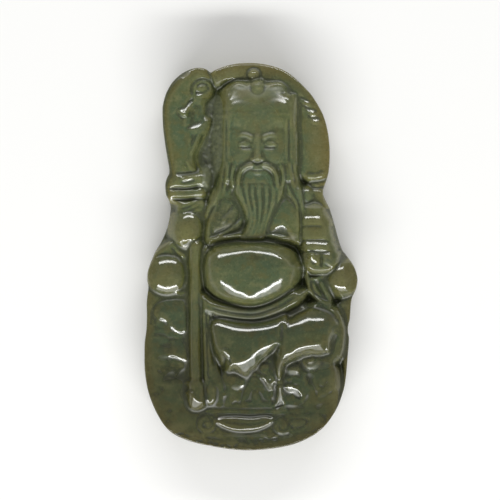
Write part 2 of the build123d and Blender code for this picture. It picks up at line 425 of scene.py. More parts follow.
# Blade: a broad back, a crisp spine, a curled tip, a scoop, a spur and a bevel
bladeForm = {
    "back": [(160, 186), (160, 168), (157, 150), (154, 128), (154, 104), (160, 86), (170, 73),
             (182, 64), (196, 60), (210, 62), (217, 72), (218.5, 86), (215, 97), (208, 104),
             (207.5, 114), (213, 119), (213, 127), (209, 136), (204, 147), (200, 157), (202.5, 166),
             (206, 172), (204, 184)],
    "crest": 5.1, "depth": 1.5, "edge": 12, "blend": 0.15,
    "spineX": 184, "spineRow": 120, "spineLean": 0.1,
    "leftFall": (0.055, 1.7), "rightFall": (0.10, 1.5),      # amount and power
    "curlRow": 92, "curlFall": 0.016,
    "scoop": [
        (press, [(194, 102), (200, 102), (206, 103.5), (206.4, 111), (209, 117), (208, 124),
         (203, 128.5), (195, 130), (187.4, 129.5), (187, 119), (189.6, 110)], 0.33, 7),
        (facet, [(178.5, 113), (180.6, 109), (185, 108), (189, 101.6), (194, 98.6), (192.4, 105.4),
         (188.8, 111.6), (186.4, 117.4), (182.4, 117)], (0.10, 0.60), 1.1, 0.08),
        (ridge, [(194, 101.5), (190, 107.5), (187.4, 114), (185.8, 121), (185, 129)], 1.9, 0.14,
         (0.15, 0.1)),
        (facet, [(186.4, 128.6), (193, 125), (200, 123.4), (204.6, 124.6), (202, 129.4), (196, 131.6),
         (187.6, 131.6)], (0.0, 0.60), 1.2),
    ],
    "spur": [
        (press, [(190, 134.5), (196, 133.5), (200, 135), (196, 143), (191.5, 149), (190, 143)], 0.16,
         4),
        (press, [(200, 134.5), (208, 133), (204.5, 144), (199, 156), (202, 166), (204, 178), (196, 176),
         (191, 160), (196, 146)], 0.4, 6),
        (ridge, [(200, 134.5), (197, 142), (193.8, 149.5), (190, 157.5)], 1.7, 0.32, (0.1, 0.2)),
        (ridge, [(187, 159.5), (189, 164.5), (192, 170.5)], 1.7, 0.32, (0.2, 0.2)),
    ],
    "curl": [
        (groove, [(194.6, 99.4), (192.2, 93.5), (192.6, 87.4), (196.6, 82.4), (203, 80.2),
         (209.4, 82.2), (213.4, 88), (212.6, 95), (207.6, 100)], 2.8, 0.3, (0.15, 0.2)),
        (groove, [(197.6, 91.5), (198.4, 86.8), (203, 84.4), (208, 86.8), (208.8, 91.4), (205, 94.8),
         (199.6, 95.4)], 2.4, 0.3, (0.15, 0.2)),
        (facet, [(195.6, 92), (203, 92.4), (211, 87.6), (212.6, 92), (205, 98), (197.6, 98.6)],
         (-0.05, 0.62), 1.0, 0.04),
        (groove, [(213.2, 74), (216.8, 81), (217.6, 89), (214, 97), (208, 103)], 2.2, 0.18, (0.1, 0.2)),
    ],
}


def bladeFall(x, y):
    spine = bladeForm["spineX"] + bladeForm["spineLean"] * (y - bladeForm["spineRow"])
    acrossBack = (x - spine) * mmPerPixel
    over = (y - bladeForm["curlRow"]) * mmPerPixel
    (left, leftPower), (right, rightPower) = bladeForm["leftFall"], bladeForm["rightFall"]
    return (left * np.clip(-acrossBack, 0, 9)**leftPower + right * np.clip(acrossBack, 0, 6)**rightPower
            + bladeForm["curlFall"] * np.clip(-over, 0, 9)**2)


form(bladeForm["back"], bladeForm["crest"], bladeForm["depth"], bladeForm["edge"],
     bladeForm["blend"], bladeFall)
sink(sunkGround["outline"], sunkGround["level"], sunkGround["edge"])
carve(bladeForm["scoop"], bladeForm["spur"], bladeForm["curl"])
print("blade carved")

# Rings under the blade, and the slanting folds of cloth tied below them
rings = {
    "bands": [
        (rod, [(155, 183), (172, 182), (188, 181), (201, 180)], 8.6, 5.3, 0.7, 0.3),
        (rod, [(155, 193.5), (176, 193.5), (190, 193), (200, 192.5)], 6.4, 5.1, 0.6, 0.25),
    ],
    "cloth": [
        (form, [(160, 197), (180, 197), (196, 197), (205, 199), (209, 210), (206, 228), (196, 236),
         (182, 234), (176, 222), (175.5, 208), (168, 203)], 4.7, 1.0, 7, 0.3),
    ],
    "lines": [
        (groove, [(172, 174.2), (186, 174), (201, 172.5)], 2.8, 0.18, (0.3, 0.1)),
        (ridge, [(180, 180.6), (188, 178.2), (198, 176.4)], 2.2, 0.26, (0.3, 0.2)),
        (ridge, [(179, 186.2), (190, 186.2), (198, 183.4)], 2.0, 0.24, (0.3, 0.2)),
        (groove, [(178, 183.6), (188, 182.6), (199, 180)], 2.0, 0.18),
        (groove, [(166, 189), (180, 189.6), (192, 188.8), (201, 187)], 2.0, 0.28, (0.1, 0.1)),
        (groove, [(172, 193.4), (184, 193.6), (198, 192)], 1.8, 0.2),
        (ridge, [(182, 196.6), (190, 195.8), (197, 194)], 1.8, 0.18),
        (groove, [(170, 199), (184, 200), (200, 198.5)], 2.2, 0.28),
    ],
    "clothFolds": [
        (ridge, [(176, 206), (185, 205.5), (193, 202.5), (200, 200)], 2.5, 0.22, (0.3, 0.3)),
        (ridge, [(178, 212), (187, 210.5), (194, 207), (202, 203)], 2.5, 0.22, (0.3, 0.3)),
        (ridge, [(183, 216), (190, 213.5), (197, 210.5), (203, 207)], 2.5, 0.22, (0.3, 0.3)),
    ],
}
carve(rings["bands"], rings["cloth"], rings["lines"], rings["clothFolds"])
print("rings carved")

# Head: a hat with two lobes, scrolls and knobs over a broad rounded block
headForm = {
    "axis": 257.5,
    "outline": [(222, 172), (222, 145), (222, 120), (223, 102), (228, 94), (240, 90), (257, 91),
                (272, 90), (285, 92), (292.5, 101), (295, 116), (295.5, 140), (295, 166), (288, 182),
                (226, 182)],
    "block": (6.55, 0.08, 4, 0.4),             # crest, depth, edge and blend
    "hat": [(221, 106), (221.5, 94), (227, 86.5), (236, 83), (246, 84), (258, 86), (270, 84.5),
            (281, 84.5), (289, 91), (293, 104), (291, 112), (258, 112), (224, 112)],
    "hatTop": (6.3, 0.15, 2.5, 0.3),
    "sideFall": (0.055, 1.9),                  # amount and power
    "crownRow": 118, "crownFall": 0.045, "crownSoft": 10,
    "brimRow": 112, "brimFall": 0.031,
    "lobes": [
        (dome, (241.5, 116), (16, 15), 6.55, 0.6),
        (dome, (274.5, 116.5), (17, 16), 6.6, 0.6),
        (groove, [(226.5, 114), (230, 105.5), (240, 101.4), (250.5, 103), (257.5, 110)], 2.8, 0.07,
         (0.15, 0.1)),
        (groove, [(257.5, 110), (264, 102.6), (274, 100), (285, 102.4), (291, 111)], 2.8, 0.07,
         (0.1, 0.15)),
    ],
    "scrolls": [
        (groove, [(223, 104), (222.8, 95), (228, 88.6), (236, 86.4), (243, 89), (246.5, 95)], 2.6, 0.07,
         (0.2, 0.2)),
        (groove, [(229, 101), (230, 95.5), (235, 92.6), (240, 95)], 2.4, 0.06),
        (ridge, ringLine((236.5, 97.5), 3.4, 20, 200), 2.2, 0.05),
        (groove, [(291, 106), (289.5, 95), (284, 88.4), (277, 86.6), (271, 90), (268.5, 96)], 2.6, 0.07,
         (0.2, 0.2)),
        (groove, [(285, 101), (283.5, 95.5), (279, 92.2), (274.5, 95)], 2.4, 0.06),
        (ridge, ringLine((278.5, 97), 3.4, 20, 200), 2.2, 0.05),
    ],
    "knobs": [
        (dome, (257.4, 88.6), (7.2, 6.8), 6.0, 0.8, 0.15, 2.2),
        (dome, (253.8, 76.2), (6.8, 6.6), 5.0, 0.8, 0.12, 2.2),
        (ringGroove, ringLine((253.8, 76.2), 7.2), 1.6, 0.16),
        (ringGroove, ringLine((257.4, 88.8), 7.6), 1.6, 0.18),
    ],
    "bands": [
        (groove, [(225, 113.4), (240, 112.4), (257, 113), (275, 112.4), (291, 113.4)], 1.8, 0.16,
         (0.1, 0.1)),
        (groove, [(226, 118.6), (240, 117.4), (257, 118), (275, 117.4), (290, 118.6)], 1.6, 0.12,
         (0.1, 0.1)),
    ],
}
axis = headForm["axis"]


def headFall(x, y):
    amount, power = headForm["sideFall"]
    aside = np.abs(x - axis) * mmPerPixel
    up = np.clip(headForm["crownRow"] - y, 0, 40)
    return amount * aside**power + headForm["crownFall"] * up * up / (up + headForm["crownSoft"])


def hatFall(x, y):
    return (headFall(x, headForm["crownRow"])
            + headForm["brimFall"] * np.clip(headForm["brimRow"] - y, 0, 40))


form(headForm["hat"], *headForm["hatTop"], hatFall)
form(headForm["outline"], *headForm["block"], headFall)
print("head blocked")
carve(headForm["lobes"], headForm["scrolls"], headForm["knobs"], headForm["bands"])
print("hat carved")

# The face: a calm oval with brows, lids, nose and lips by the usual thirds and fifths
faceForm = {
    "oval": [
        (dome, (axis, 153), (28, 36), 6.75, 0.85, 0.3, 2.3),
    ],
    "eachSide": [                              # x outward from the axis
        (press, [(4.5, 143.5), (12, 140.5), (20, 143.5), (21, 149), (12, 152), (5, 149.5)], 0.34, 5),
        (dome, (12, 146.6), (7.0, 3.9), 6.62, 0.3, 0.12),
        (ridge, [(4.6, 148.2), (8, 145), (12, 143.6), (16, 144.8), (19.8, 148)], 1.7, 0.16,
         (0.15, 0.2)),
        (groove, [(5.4, 148.8), (9, 149.2), (13, 149), (18, 148.2)], 1.4, 0.2, (0.2, 0.2)),
        (ridge, [(6, 150.6), (9, 151.4), (13, 151.4), (17.5, 150)], 1.7, 0.1, (0.3, 0.3)),
        (ridge, [(4, 140.6), (9, 137.4), (15, 136.4), (22, 139.6)], 2.8, 0.24, (0.15, 0.45)),
        (dome, (14.5, 158.5), (9, 8), 6.66, 0.45, 0.3),
    ],
    "nose": [
        (rod, [(axis, 139), (axis, 150), (axis, 158)], 4.2, 6.8, 0.5, 0.3, 7.15),
        (dome, (axis, 159.4), (4.0, 3.4), 7.25, 0.5),
    ],
    "nostrils": [
        (dome, (4.6, 160.6), (2.6, 2.3), 6.95, 0.35, 0.2),
    ],
    "mouth": [
        (groove, [(axis - 6, 163.4), (axis, 163.8), (axis + 6, 163.4)], 2.0, 0.22),
        (dome, (axis, 171), (10, 6.5), 6.72, 0.35),
        (ridge, [(axis - 6.5, 171), (axis - 2.6, 169.4), (axis, 169.9), (axis + 2.6, 169.4),
         (axis + 6.5, 171)], 1.8, 0.13),
        (ridge, [(axis - 5.4, 173), (axis, 174.2), (axis + 5.4, 173)], 2.0, 0.13),
        (groove, [(axis - 7, 171.6), (axis - 2.5, 171.8), (axis, 171.6), (axis + 2.5, 171.8),
         (axis + 7, 171.6)], 1.3, 0.2),
    ],
}
carve(faceForm["oval"])
carveBothSides(axis, faceForm["eachSide"])
carve(faceForm["nose"])
carveBothSides(axis, faceForm["nostrils"])
carve(faceForm["mouth"])
print("face carved")

# Beard: a moustache that hangs at both sides of the mouth, long locks down to
# the belly and looser hair beside them
beardForm = {
    "outline": [(236, 168), (231, 180), (234, 193), (240, 205), (245, 216), (246, 227), (240, 239),
                (252, 243), (264, 240), (269, 229), (275, 216), (280, 203), (284, 191), (285.5, 180),
                (279, 168), (272, 172), (266, 177.5), (257.5, 179), (249, 177.5), (243, 172)],
    "top": (6.5, 0.9, 9, 0.25),                # crest, depth, edge and blend
    "fromRow": 180, "sideFall": 0.010, "lean": 0.10, "downFall": 0.004,
    "moustache": [                             # x outward from the axis
        (ridge, [(1.5, 166.2), (8, 166.6), (14.5, 170), (18.5, 177), (19.5, 186), (18.5, 197)], 3.2,
         0.5, (0.12, 0.5)),
        (groove, [(9, 170), (14, 174.5), (16, 182), (16, 192)], 1.8, 0.2),
        (ridge, [(21.5, 164), (24.6, 171), (25.6, 180), (23.6, 191)], 2.6, 0.34, (0.2, 0.35)),
        (groove, [(18.5, 168), (22.2, 176), (22.6, 188)], 2.0, 0.3),
        (ridge, [(28.5, 166), (30.4, 176), (29.5, 187)], 2.2, 0.18),
    ],
}
locks = {
    "ridge": (2.5, 0.17, (0.15, 0.2)),         # width, rise and taper
    "furrow": (1.75, 0.14, (0.2, 0.2)), "aside": (3.2, 0),
    "lines": [[(247, 181), (246.4, 193), (248.6, 205), (250.6, 216), (248.4, 227), (242, 236)],
              [(252.6, 182), (252, 194), (254, 206), (254.6, 217), (252.6, 228), (248, 238)],
              [(259, 182), (259.4, 194), (260, 206), (259, 217), (256.6, 228), (253, 239)],
              [(265.4, 181), (266.6, 192), (266.4, 204), (264.4, 215), (261, 226), (257.6, 237)],
              [(271, 181), (273.4, 191), (272.6, 202), (269.4, 213), (265.4, 224), (262.4, 233)],
              [(240.6, 183), (240.4, 193), (243.6, 204), (246.4, 214), (244.8, 222), (238, 231)]],
}
sideHair = {
    "masses": [
        (form, [(223.5, 158), (233, 163), (235, 180), (233, 195), (225, 199), (217, 212), (210, 224),
         (204, 216), (210, 198), (217.5, 182)], 5.2, 0.9, 6, 0.3),
        (form, [(283, 160), (294, 160), (298, 176), (302, 192), (304, 208), (299, 214), (291, 201),
         (284, 195), (285, 178)], 5.4, 0.9, 5, 0.3),
    ],
    "ridge": (2.2, 0.26, (0.15, 0.35)),
    "furrow": (1.7, 0.16, (0.2, 0.3)), "aside": (2.6, 0),
    "lines": [[(223.5, 163), (221.5, 178), (217.5, 194), (212.5, 208), (208.5, 220)], [(228.5, 163),
              (227, 176), (225, 187), (221.5, 198)], [(219.5, 178), (215, 189), (210.5, 199),
              (206.5, 209)], [(233, 180), (231.5, 190), (227, 197)], [(289, 162), (291, 175),
              (292.5, 188)], [(293.5, 163), (296, 176), (299.5, 190), (302.5, 205)], [(286, 182),
              (288.5, 191), (293.5, 200), (298, 209)]],
    "temples": (224.5, 229.0, 290.5, 286.5),   # columns of the strands beside the face
    "templeRidge": (2.0, 0.14, (0.15, 0.15)), "templeBow": 0.5,
    "parting": [
        (groove, [(226.8, 116), (226.4, 140), (226.8, 166)], 1.8, 0.18, (0.15, 0.15)),
        (groove, [(288.6, 116), (289, 140), (288.6, 166)], 1.8, 0.18, (0.15, 0.15)),
    ],
}


def beardFall(x, y):
    down = y - beardForm["fromRow"]
    return (beardForm["sideFall"] * np.abs(x - axis + beardForm["lean"] * down)
            + beardForm["downFall"] * down)


form(beardForm["outline"], *beardForm["top"], beardFall)
carveBothSides(axis, beardForm["moustache"])
carveStrands(locks)
carve(sideHair["masses"])
carveStrands(sideHair)
for x in sideHair["temples"]:
    ridge([(x, 118), (x - sideHair["templeBow"], 140), (x, 164)], *sideHair["templeRidge"])
carve(sideHair["parting"])
print("beard and hair carved")

# Chest: two rounded lapels that meet under the beard, and the edge of the robe
chestForm = {
    "lapels": [
        (form, [(212, 194), (230, 188), (290, 188), (302, 196), (304, 238), (280, 243), (230, 243),
         (206, 242)], 5.3, 0.3, 8, 0.3),
        (form, [(223, 195), (231, 197), (238, 202), (242, 210), (242.5, 220), (234, 230), (222, 236),
         (213, 241), (207, 240), (206, 226), (211, 214), (217, 204)], 5.9, 1.0, 8, 0.2,
         fallRound((224, 219), 0.0022, 0.7)),
        (form, [(274, 206), (281, 199), (289, 198), (295, 208), (299, 222), (300, 238), (290, 242),
         (276, 239), (264, 239), (264, 228), (269, 217)], 6.0, 0.3, 7, 0.2, allOf(fallRound((284, 222),
         0.0012), fallPast([(262, 234), (270, 231.4), (275, 226.6), (281, 224.4), (285, 225.8),
         (288.4, 230), (292, 238), (298, 248)], (0.59, 0.25, 4, 0.1), 3.0))),
    ],
    "folds": [
        (facet, [(221, 220), (226, 211), (232, 204), (234.6, 208), (230, 216), (224, 224)],
         (0.12, 0.57), 2.4),
        (ridge, [(242, 214), (240.5, 221), (234, 227.5), (225, 233), (215, 237.6)], 2.4, 0.36,
         (0.35, 0.15)),
        (groove, [(239.5, 208), (239, 217), (233, 224.5), (224, 230), (212, 235)], 2.2, 0.26,
         (0.3, 0.15)),
        (groove, [(246, 218), (243, 227), (236, 233), (226, 236.4)], 2.4, 0.26),
        (ridge, [(220, 201), (213.5, 213), (209, 225), (208, 236), (204, 247)], 2.2, 0.26, (0.2, 0.2)),
        (groove, [(216.5, 201), (210.5, 213), (206, 225), (205, 236)], 2.0, 0.3),
        (groove, [(296.5, 196), (299.4, 210), (300.4, 224), (300, 238)], 2.0, 0.3, (0.2, 0.1)),
        (ridge, [(292, 196), (296.4, 206), (298, 220), (298, 234)], 2.0, 0.24, (0.2, 0.2)),
    ],
    "robeEdge": [
        (rod, [(211, 240), (222, 238.2), (236, 236.6), (250, 235.6), (262, 235.2), (276, 236.6),
         (288, 239.2), (297, 242)], 2.4, 5.75, 0.5, 0.3),
    ],
}
carve(chestForm["lapels"], chestForm["folds"], chestForm["robeEdge"])
print("chest carved")

# Belly: one large polished swell with a shallow keel, in a rounded recess over two cords
bellyForm = {
    "recess": [(201, 262), (205, 250), (214, 242.5), (235, 239.5), (260, 237.8), (280, 240), (295, 245),
               (303, 256), (307, 270), (308, 286), (302, 299), (285, 311), (262, 319), (238, 319),
               (216, 314), (203, 304), (200, 284)],
    "recessLevel": 5.4, "recessEdge": 8,
    "shelf": [
        (form, [(201, 292), (214, 299), (232, 304), (252, 306), (274, 300), (292, 290), (306, 289),
         (303, 301), (286, 312), (262, 321), (238, 321), (214, 316), (202, 307)], 5.85, 0.6, 8, 0.3),
    ],
    "outline": [(202.5, 262), (204.5, 253), (211, 246.5), (223, 243.5), (240, 242), (258, 241.6),
                (276, 243.4), (289, 247), (297, 255), (301.5, 266), (301.5, 280), (296, 291),
                (284, 299), (268, 304.5), (250, 306), (231, 304.6), (214, 300.5), (204.5, 293),
                (201, 282), (201, 271)],
    "top": (8.25, 1.3, 9, 0.3),                # crest, depth, edge and blend
    "middle": (249.5, 274.5), "middleSoft": (20, 4.5),       # the keel's middle is rounded
    "downCurve": 0.088, "upCurve": 0.0345, "upPower": 2.6,
    "keelReach": 36, "keelDown": 0.56, "keelUp": 0.16,
    "leftCurve": (0.027, 0.2), "rightCurve": (0.019, 0.11), "sideFrom": 3.5,
    "frame": [
        (rod, [(207, 247), (203.5, 256), (201.5, 268), (201, 284), (202, 298), (204, 308)], 2.4, 5.2,
         0.7, 0.25),
        (rod, [(298, 244), (303, 254), (306, 268), (307, 282), (309, 290), (314, 297), (322, 301.5),
         (330, 303)], 2.4, 5.1, 0.7, 0.25),
    ],
}
beltCords = {
    "ridge": (3.0, 0.12, (0.15, 0.1)),         # width, rise and taper
    "furrow": (2.4, 0.12, (0.15, 0.1)), "aside": (0, 3.2),
    "lines": [[(203, 299.5), (212, 304), (224, 307.4), (240, 309.8), (256, 310), (274, 304.5),
              (286, 298), (297, 289.5)], [(203, 305.5), (214, 310.5), (226, 314), (241, 316.5),
              (257, 316.6), (276, 310.4), (290, 303.5), (302, 296)]],
}


def bellyFall(x, y):
    middleX, middleY = bellyForm["middle"]
    soft, shift = bellyForm["middleSoft"]
    aside = np.sqrt((x - middleX)**2 + soft) - shift
    keel = aside / (1 + (aside / bellyForm["keelReach"])**6)**(1 / 6)
    down = y - middleY + bellyForm["keelDown"] * keel
    up = middleY - y + bellyForm["keelUp"] * keel
    fall = np.maximum(bellyForm["downCurve"] * np.clip(down * mmPerPixel, 0, 9)**2,
                      bellyForm["upCurve"] * np.clip(up * mmPerPixel, 0, 9)**bellyForm["upPower"])
    sideways = aside * mmPerPixel
    (left, farLeft), (right, farRight) = bellyForm["leftCurve"], bellyForm["rightCurve"]
    past = np.clip(sideways - bellyForm["sideFrom"], 0, 9)
    return (fall + np.where(x < middleX, left, right) * sideways**2
            + np.where(x < middleX, farLeft, farRight) * past**2)


sink(bellyForm["recess"], bellyForm["recessLevel"], bellyForm["recessEdge"])
carve(bellyForm["shelf"])
form(bellyForm["outline"], *bellyForm["top"], bellyFall)
carveStrands(beltCords)
carve(bellyForm["frame"])
print("belly carved")

# Right arm: cape, wrapped sleeve bands, fist, a pearl and a knotted ribbon
rightArm = {
    "cape": [
        (form, [(296, 188), (310, 188), (324, 190), (326, 200), (329, 209), (318, 211), (306, 210),
         (300, 202)], 4.6, 0.7, 7, 0.3),
        (dome, (306.5, 196), (6, 8), 5.1, 0.5, 0.3),
    ],
    "sleeve": [(301, 207), (304, 204), (316, 203), (325, 208), (330, 220), (333, 235), (337, 247),
               (337, 260), (330, 270), (318, 274), (307, 268), (303, 255), (300, 240), (299.5, 222)],
    "crest": 6.2, "depth": 0.9, "edge": 6, "blend": 0.3,
    "bandAt": [200, 214, 216, 219.4, 224, 226, 229.4, 238, 240.4, 245.4, 249.6, 251.6, 280],
    "bandHeight": [5.1, 5.5, 5.58, 5.88, 5.92, 5.7, 5.90, 5.95, 5.70, 6.12, 6.14, 5.8, 5.7],
    "middle": 314, "bow": 0.004, "sideFall": (0.010, 1.4),   # amount and power
    "fist": [
        (form, [(304, 252.5), (318, 252.5), (335, 252.5), (338, 259), (333, 268), (321, 273),
         (309, 270), (303.5, 261)], 5.9, 0.5, 4, 0.2),
        (dome, (314, 260), (8.4, 10), 6.35, 0.8, 0.2, 2.0, 15),
        (dome, (327, 261), (7.4, 9), 6.1, 0.6, 0.2, 2.0, -15),
        (facet, [(308.2, 253.6), (313.4, 253.6), (314.4, 259), (317, 263), (313, 266), (308.4, 260)],
         (0.30, -0.55), 1.0, 0.03),
        (facet, [(312, 263), (316, 264), (320.4, 264.4), (320.6, 267.6), (314, 267.6)], (0.05, -0.585),
         1.1),
        (groove, [(321, 253.5), (320.6, 261), (320, 269)], 1.9, 0.32),
        (groove, [(323, 256), (328, 260), (333.5, 262)], 1.6, 0.18),
        (groove, [(322.5, 262), (327, 266), (331.5, 268)], 1.6, 0.18),
    ],
    "ribbon": [
        (form, [(303, 272), (313, 274.5), (326, 272.5), (333, 277), (331, 290), (333, 303), (322, 304),
         (312, 299), (306, 287)], 4.8, 0.8, 5),
        (ridge, [(308, 279), (317, 277), (327, 273.5)], 2.6, 0.3),
        (ridge, [(305.5, 271), (307.6, 283), (312, 293.5), (319, 300), (329, 303.5)], 2.4, 0.34,
         (0.2, 0.2)),
        (ridge, [(311.5, 281), (315, 290), (322, 297.5)], 2.2, 0.26),
        (ridge, [(320, 279.5), (322.5, 287), (327.5, 296.5)], 2.4, 0.34),
        (groove, [(315.5, 279.5), (319, 288), (325, 297)], 2.2, 0.3),
        (groove, [(309.5, 281), (312.5, 290), (319, 297.5)], 1.6, 0.24),
    ],
    "pearl": [
        (dome, (341.5, 278), (16.5, 17), 5.9, 1.3, 0.15),
        (groove, ringLine((341.5, 278), 4.6, -30, 120), 2.0, 0.14),
        (ridge, [(327, 208), (332, 222), (335.5, 236), (340, 248), (344, 256)], 2.6, 0.2),
    ],
}


# wrapped bands: one profile down the sleeve, a little bowed
def sleeveFall(x, y):
    aside = x - rightArm["middle"]
    height = np.interp(y - rightArm["bow"] * aside**2, rightArm["bandAt"], rightArm["bandHeight"])
    amount, power = rightArm["sideFall"]
    return rightArm["crest"] - height + amount * np.abs(aside)**power


carve(rightArm["cape"])
form(rightArm["sleeve"], rightArm["crest"], rightArm["depth"], rightArm["edge"],
     rightArm["blend"], sleeveFall)
carve(rightArm["fist"], rightArm["ribbon"], rightArm["pearl"])
print("right arm carved")

# Left side: sleeve, hand, pearl, knee guard, rolled cloth and rock
leftSide = {
    "sleeve": [
        (form, [(172, 240), (184, 243), (200, 243), (203, 252), (192, 264), (182, 264), (174, 258),
         (160, 257), (152, 262), (156, 251), (164, 244)], 4.5, 0.7, 7, 0.3),
        (ridge, [(175, 249), (180, 253), (187, 258)], 2.6, 0.24),
        (groove, [(171, 245), (175, 252), (182, 259)], 2.2, 0.2),
    ],
    "handAndPearl": [
        (dome, (188.5, 229.5), (15.5, 20), 5.9, 1.3, 0.15),
        (facet, [(179, 239.5), (184.5, 242.6), (191, 239), (197, 235.6), (197, 239), (190.5, 243.4),
         (184.6, 247.6), (179, 244.6)], (0.1, -0.58), 1.6, 0.02),
        (dome, (167.5, 274.5), (20, 20), 5.7, 1.3, 0.15),
        (ridge, [(184, 259), (187.6, 268), (188, 279), (185, 291)], 2.0, 0.2),
        (ridge, [(174, 293.4), (182, 292.4), (190, 293.4)], 2.8, 0.14),
    ],
    "guard": [
        (form, [(155, 308), (163, 301), (178, 299), (188, 302), (189.5, 320), (189.5, 334), (184, 340),
         (172, 338), (162, 333), (156, 322)], 5.0, 0.3, 12, 0.35, allOf(fallRound((174, 0), 0.0007,
         0.0), fallAbove(312, 0.036), fallPast([(152, 312), (158, 316), (162.6, 317.2), (167, 319),
         (171, 323.2), (176, 328.2), (180, 330.4), (184, 329.8), (192, 326)], (0.72, 0.25, 4, 0.2),
         2.7))),
        (groove, [(160, 303), (154, 310), (151.4, 319), (151.4, 328)], 2.6, 0.07),
        (groove, [(163, 304.6), (157.4, 312), (155, 322)], 2.6, 0.07),
        (groove, [(150, 335.4), (160, 334), (172, 337), (184, 339)], 3.4, 0.09),
        (facet, [(152.6, 330.6), (158, 330.6), (163, 329.8), (162, 332.4), (153.6, 333.2)], (0, -0.58),
         1.4, 0.02),
    ],
    "roll": [
        (groove, [(158, 345.6), (170, 345), (180, 348.4), (190, 352.2)], 2.6, 0.08),
        (groove, [(159, 349.8), (170, 349.4), (180, 352.6), (190, 356.2)], 2.6, 0.08),
        (form, [(140, 344), (160, 338), (182, 336), (192, 340), (191, 388), (176, 388), (154, 388)],
         4.85, 0.2, 6, 0.3, allOf(fallAbove(354, 0.035), fallLeftOf(174, 0.055), fallPast([(150, 358),
         (160, 356), (168, 354.4), (173, 353.8), (178, 355.4), (183, 357), (187, 358.4), (192, 361)],
         (0.74, 0.27, 4, 0.24), 2.8))),
    ],
    "rock": [
        (sink, [(158, 366), (172, 365), (188, 366), (189.5, 372), (187, 383), (172, 386), (160, 384),
         (155, 372)], 3.9, 10),
        (groove, [(187.4, 362), (187.8, 385), (187.4, 405)], 2.4, 0.22, (0.1, 0.1)),
    ],
}
carve(leftSide["sleeve"], leftSide["handAndPearl"], leftSide["guard"], leftSide["roll"],
      leftSide["rock"])
print("left side carved")

# The staff, a plain round rod with a flared foot, and the narrow folds beside it
staffForm = {
    "rod": [
        (rod, [(196.4, 246), (195.8, 280), (195.4, 320), (195.4, 350), (196, 374)], 6.6, 5.6, 0.65,
         0.12),
        (groove, [(189.6, 262), (189, 290), (188.8, 330), (189.4, 372), (190, 400)], 2.2, 0.4,
         (0.1, 0.1)),
        (groove, [(203, 256), (202.8, 290), (202.4, 330), (203, 366), (204, 390)], 2.0, 0.3,
         (0.1, 0.15)),
    ],
    "foot": [
        (form, [(190, 380), (196, 376), (203, 380), (205, 394), (204.6, 403), (198.6, 408), (192, 406),
         (188.6, 396)], 5.6, 0.5, 5, 0.2),
        (facet, [(188.8, 381.6), (192.2, 382.4), (193.8, 389), (191, 393), (188.8, 391)], (0.28, -0.57),
         1.1, 0.03),
        (facet, [(188.4, 392), (192.6, 390.6), (195, 394), (199, 397.6), (204, 400), (204, 406),
         (196, 409.6), (190, 406)], (0.26, -0.58), 1.1, 0.02),
    ],
}
robeFolds = {
    "mass": [
        (form, [(201, 306), (213, 310), (215, 340), (219, 362), (224, 378), (225, 392), (222, 412),
         (212, 416), (205, 414), (203.5, 392), (203, 360), (202, 330)], 5.3, 0.8, 4, 0.25,
         fallBelow(384, 0.042)),
    ],
    "folds": [
        (ridge, [(204.6, 307), (205, 335), (205.6, 362), (205.6, 386)], 2.0, 0.26, (0.1, 0.2)),
        (ridge, [(208.4, 309), (208.8, 335), (209.6, 356), (213, 376)], 2.0, 0.26, (0.1, 0.2)),
        (ridge, [(212, 312), (213.8, 338), (217, 356), (222, 371), (229.5, 384)], 2.0, 0.26,
         (0.1, 0.2)),
        (groove, [(206.8, 310), (207, 335), (207.6, 360), (209, 378)], 1.6, 0.24, (0.1, 0.3)),
        (groove, [(210.4, 311), (211.4, 335), (213.4, 355), (218, 371), (223.6, 383)], 1.6, 0.24,
         (0.1, 0.3)),
    ],
    "flap": [
        (form, [(205.4, 388), (209, 379), (214, 379.5), (217.4, 388), (216.6, 399), (211, 404.4),
         (206.4, 402)], 5.5, 0.8, 5, 0.2, fallBelow(388, 0.03, 20)),
        (facet, [(206.4, 396.4), (210, 397.6), (213, 395.4), (213, 399.6), (209.6, 402), (206.6, 400)],
         (0, -0.56), 1.2, 0.03),
        (groove, [(205.6, 364), (207.5, 372), (210.5, 379)], 1.6, 0.16),
    ],
    "gap": [
        (sink, [(212.5, 312), (216, 318), (218, 344), (222, 360), (229.5, 375), (238, 384), (232, 388),
         (222.5, 377), (216.4, 362), (213.6, 344)], 4.55, 2.6),
    ],
}
carve(staffForm["rod"], staffForm["foot"])
carve(robeFolds["mass"], robeFolds["folds"], robeFolds["flap"], robeFolds["gap"])
print("staff and folds carved")

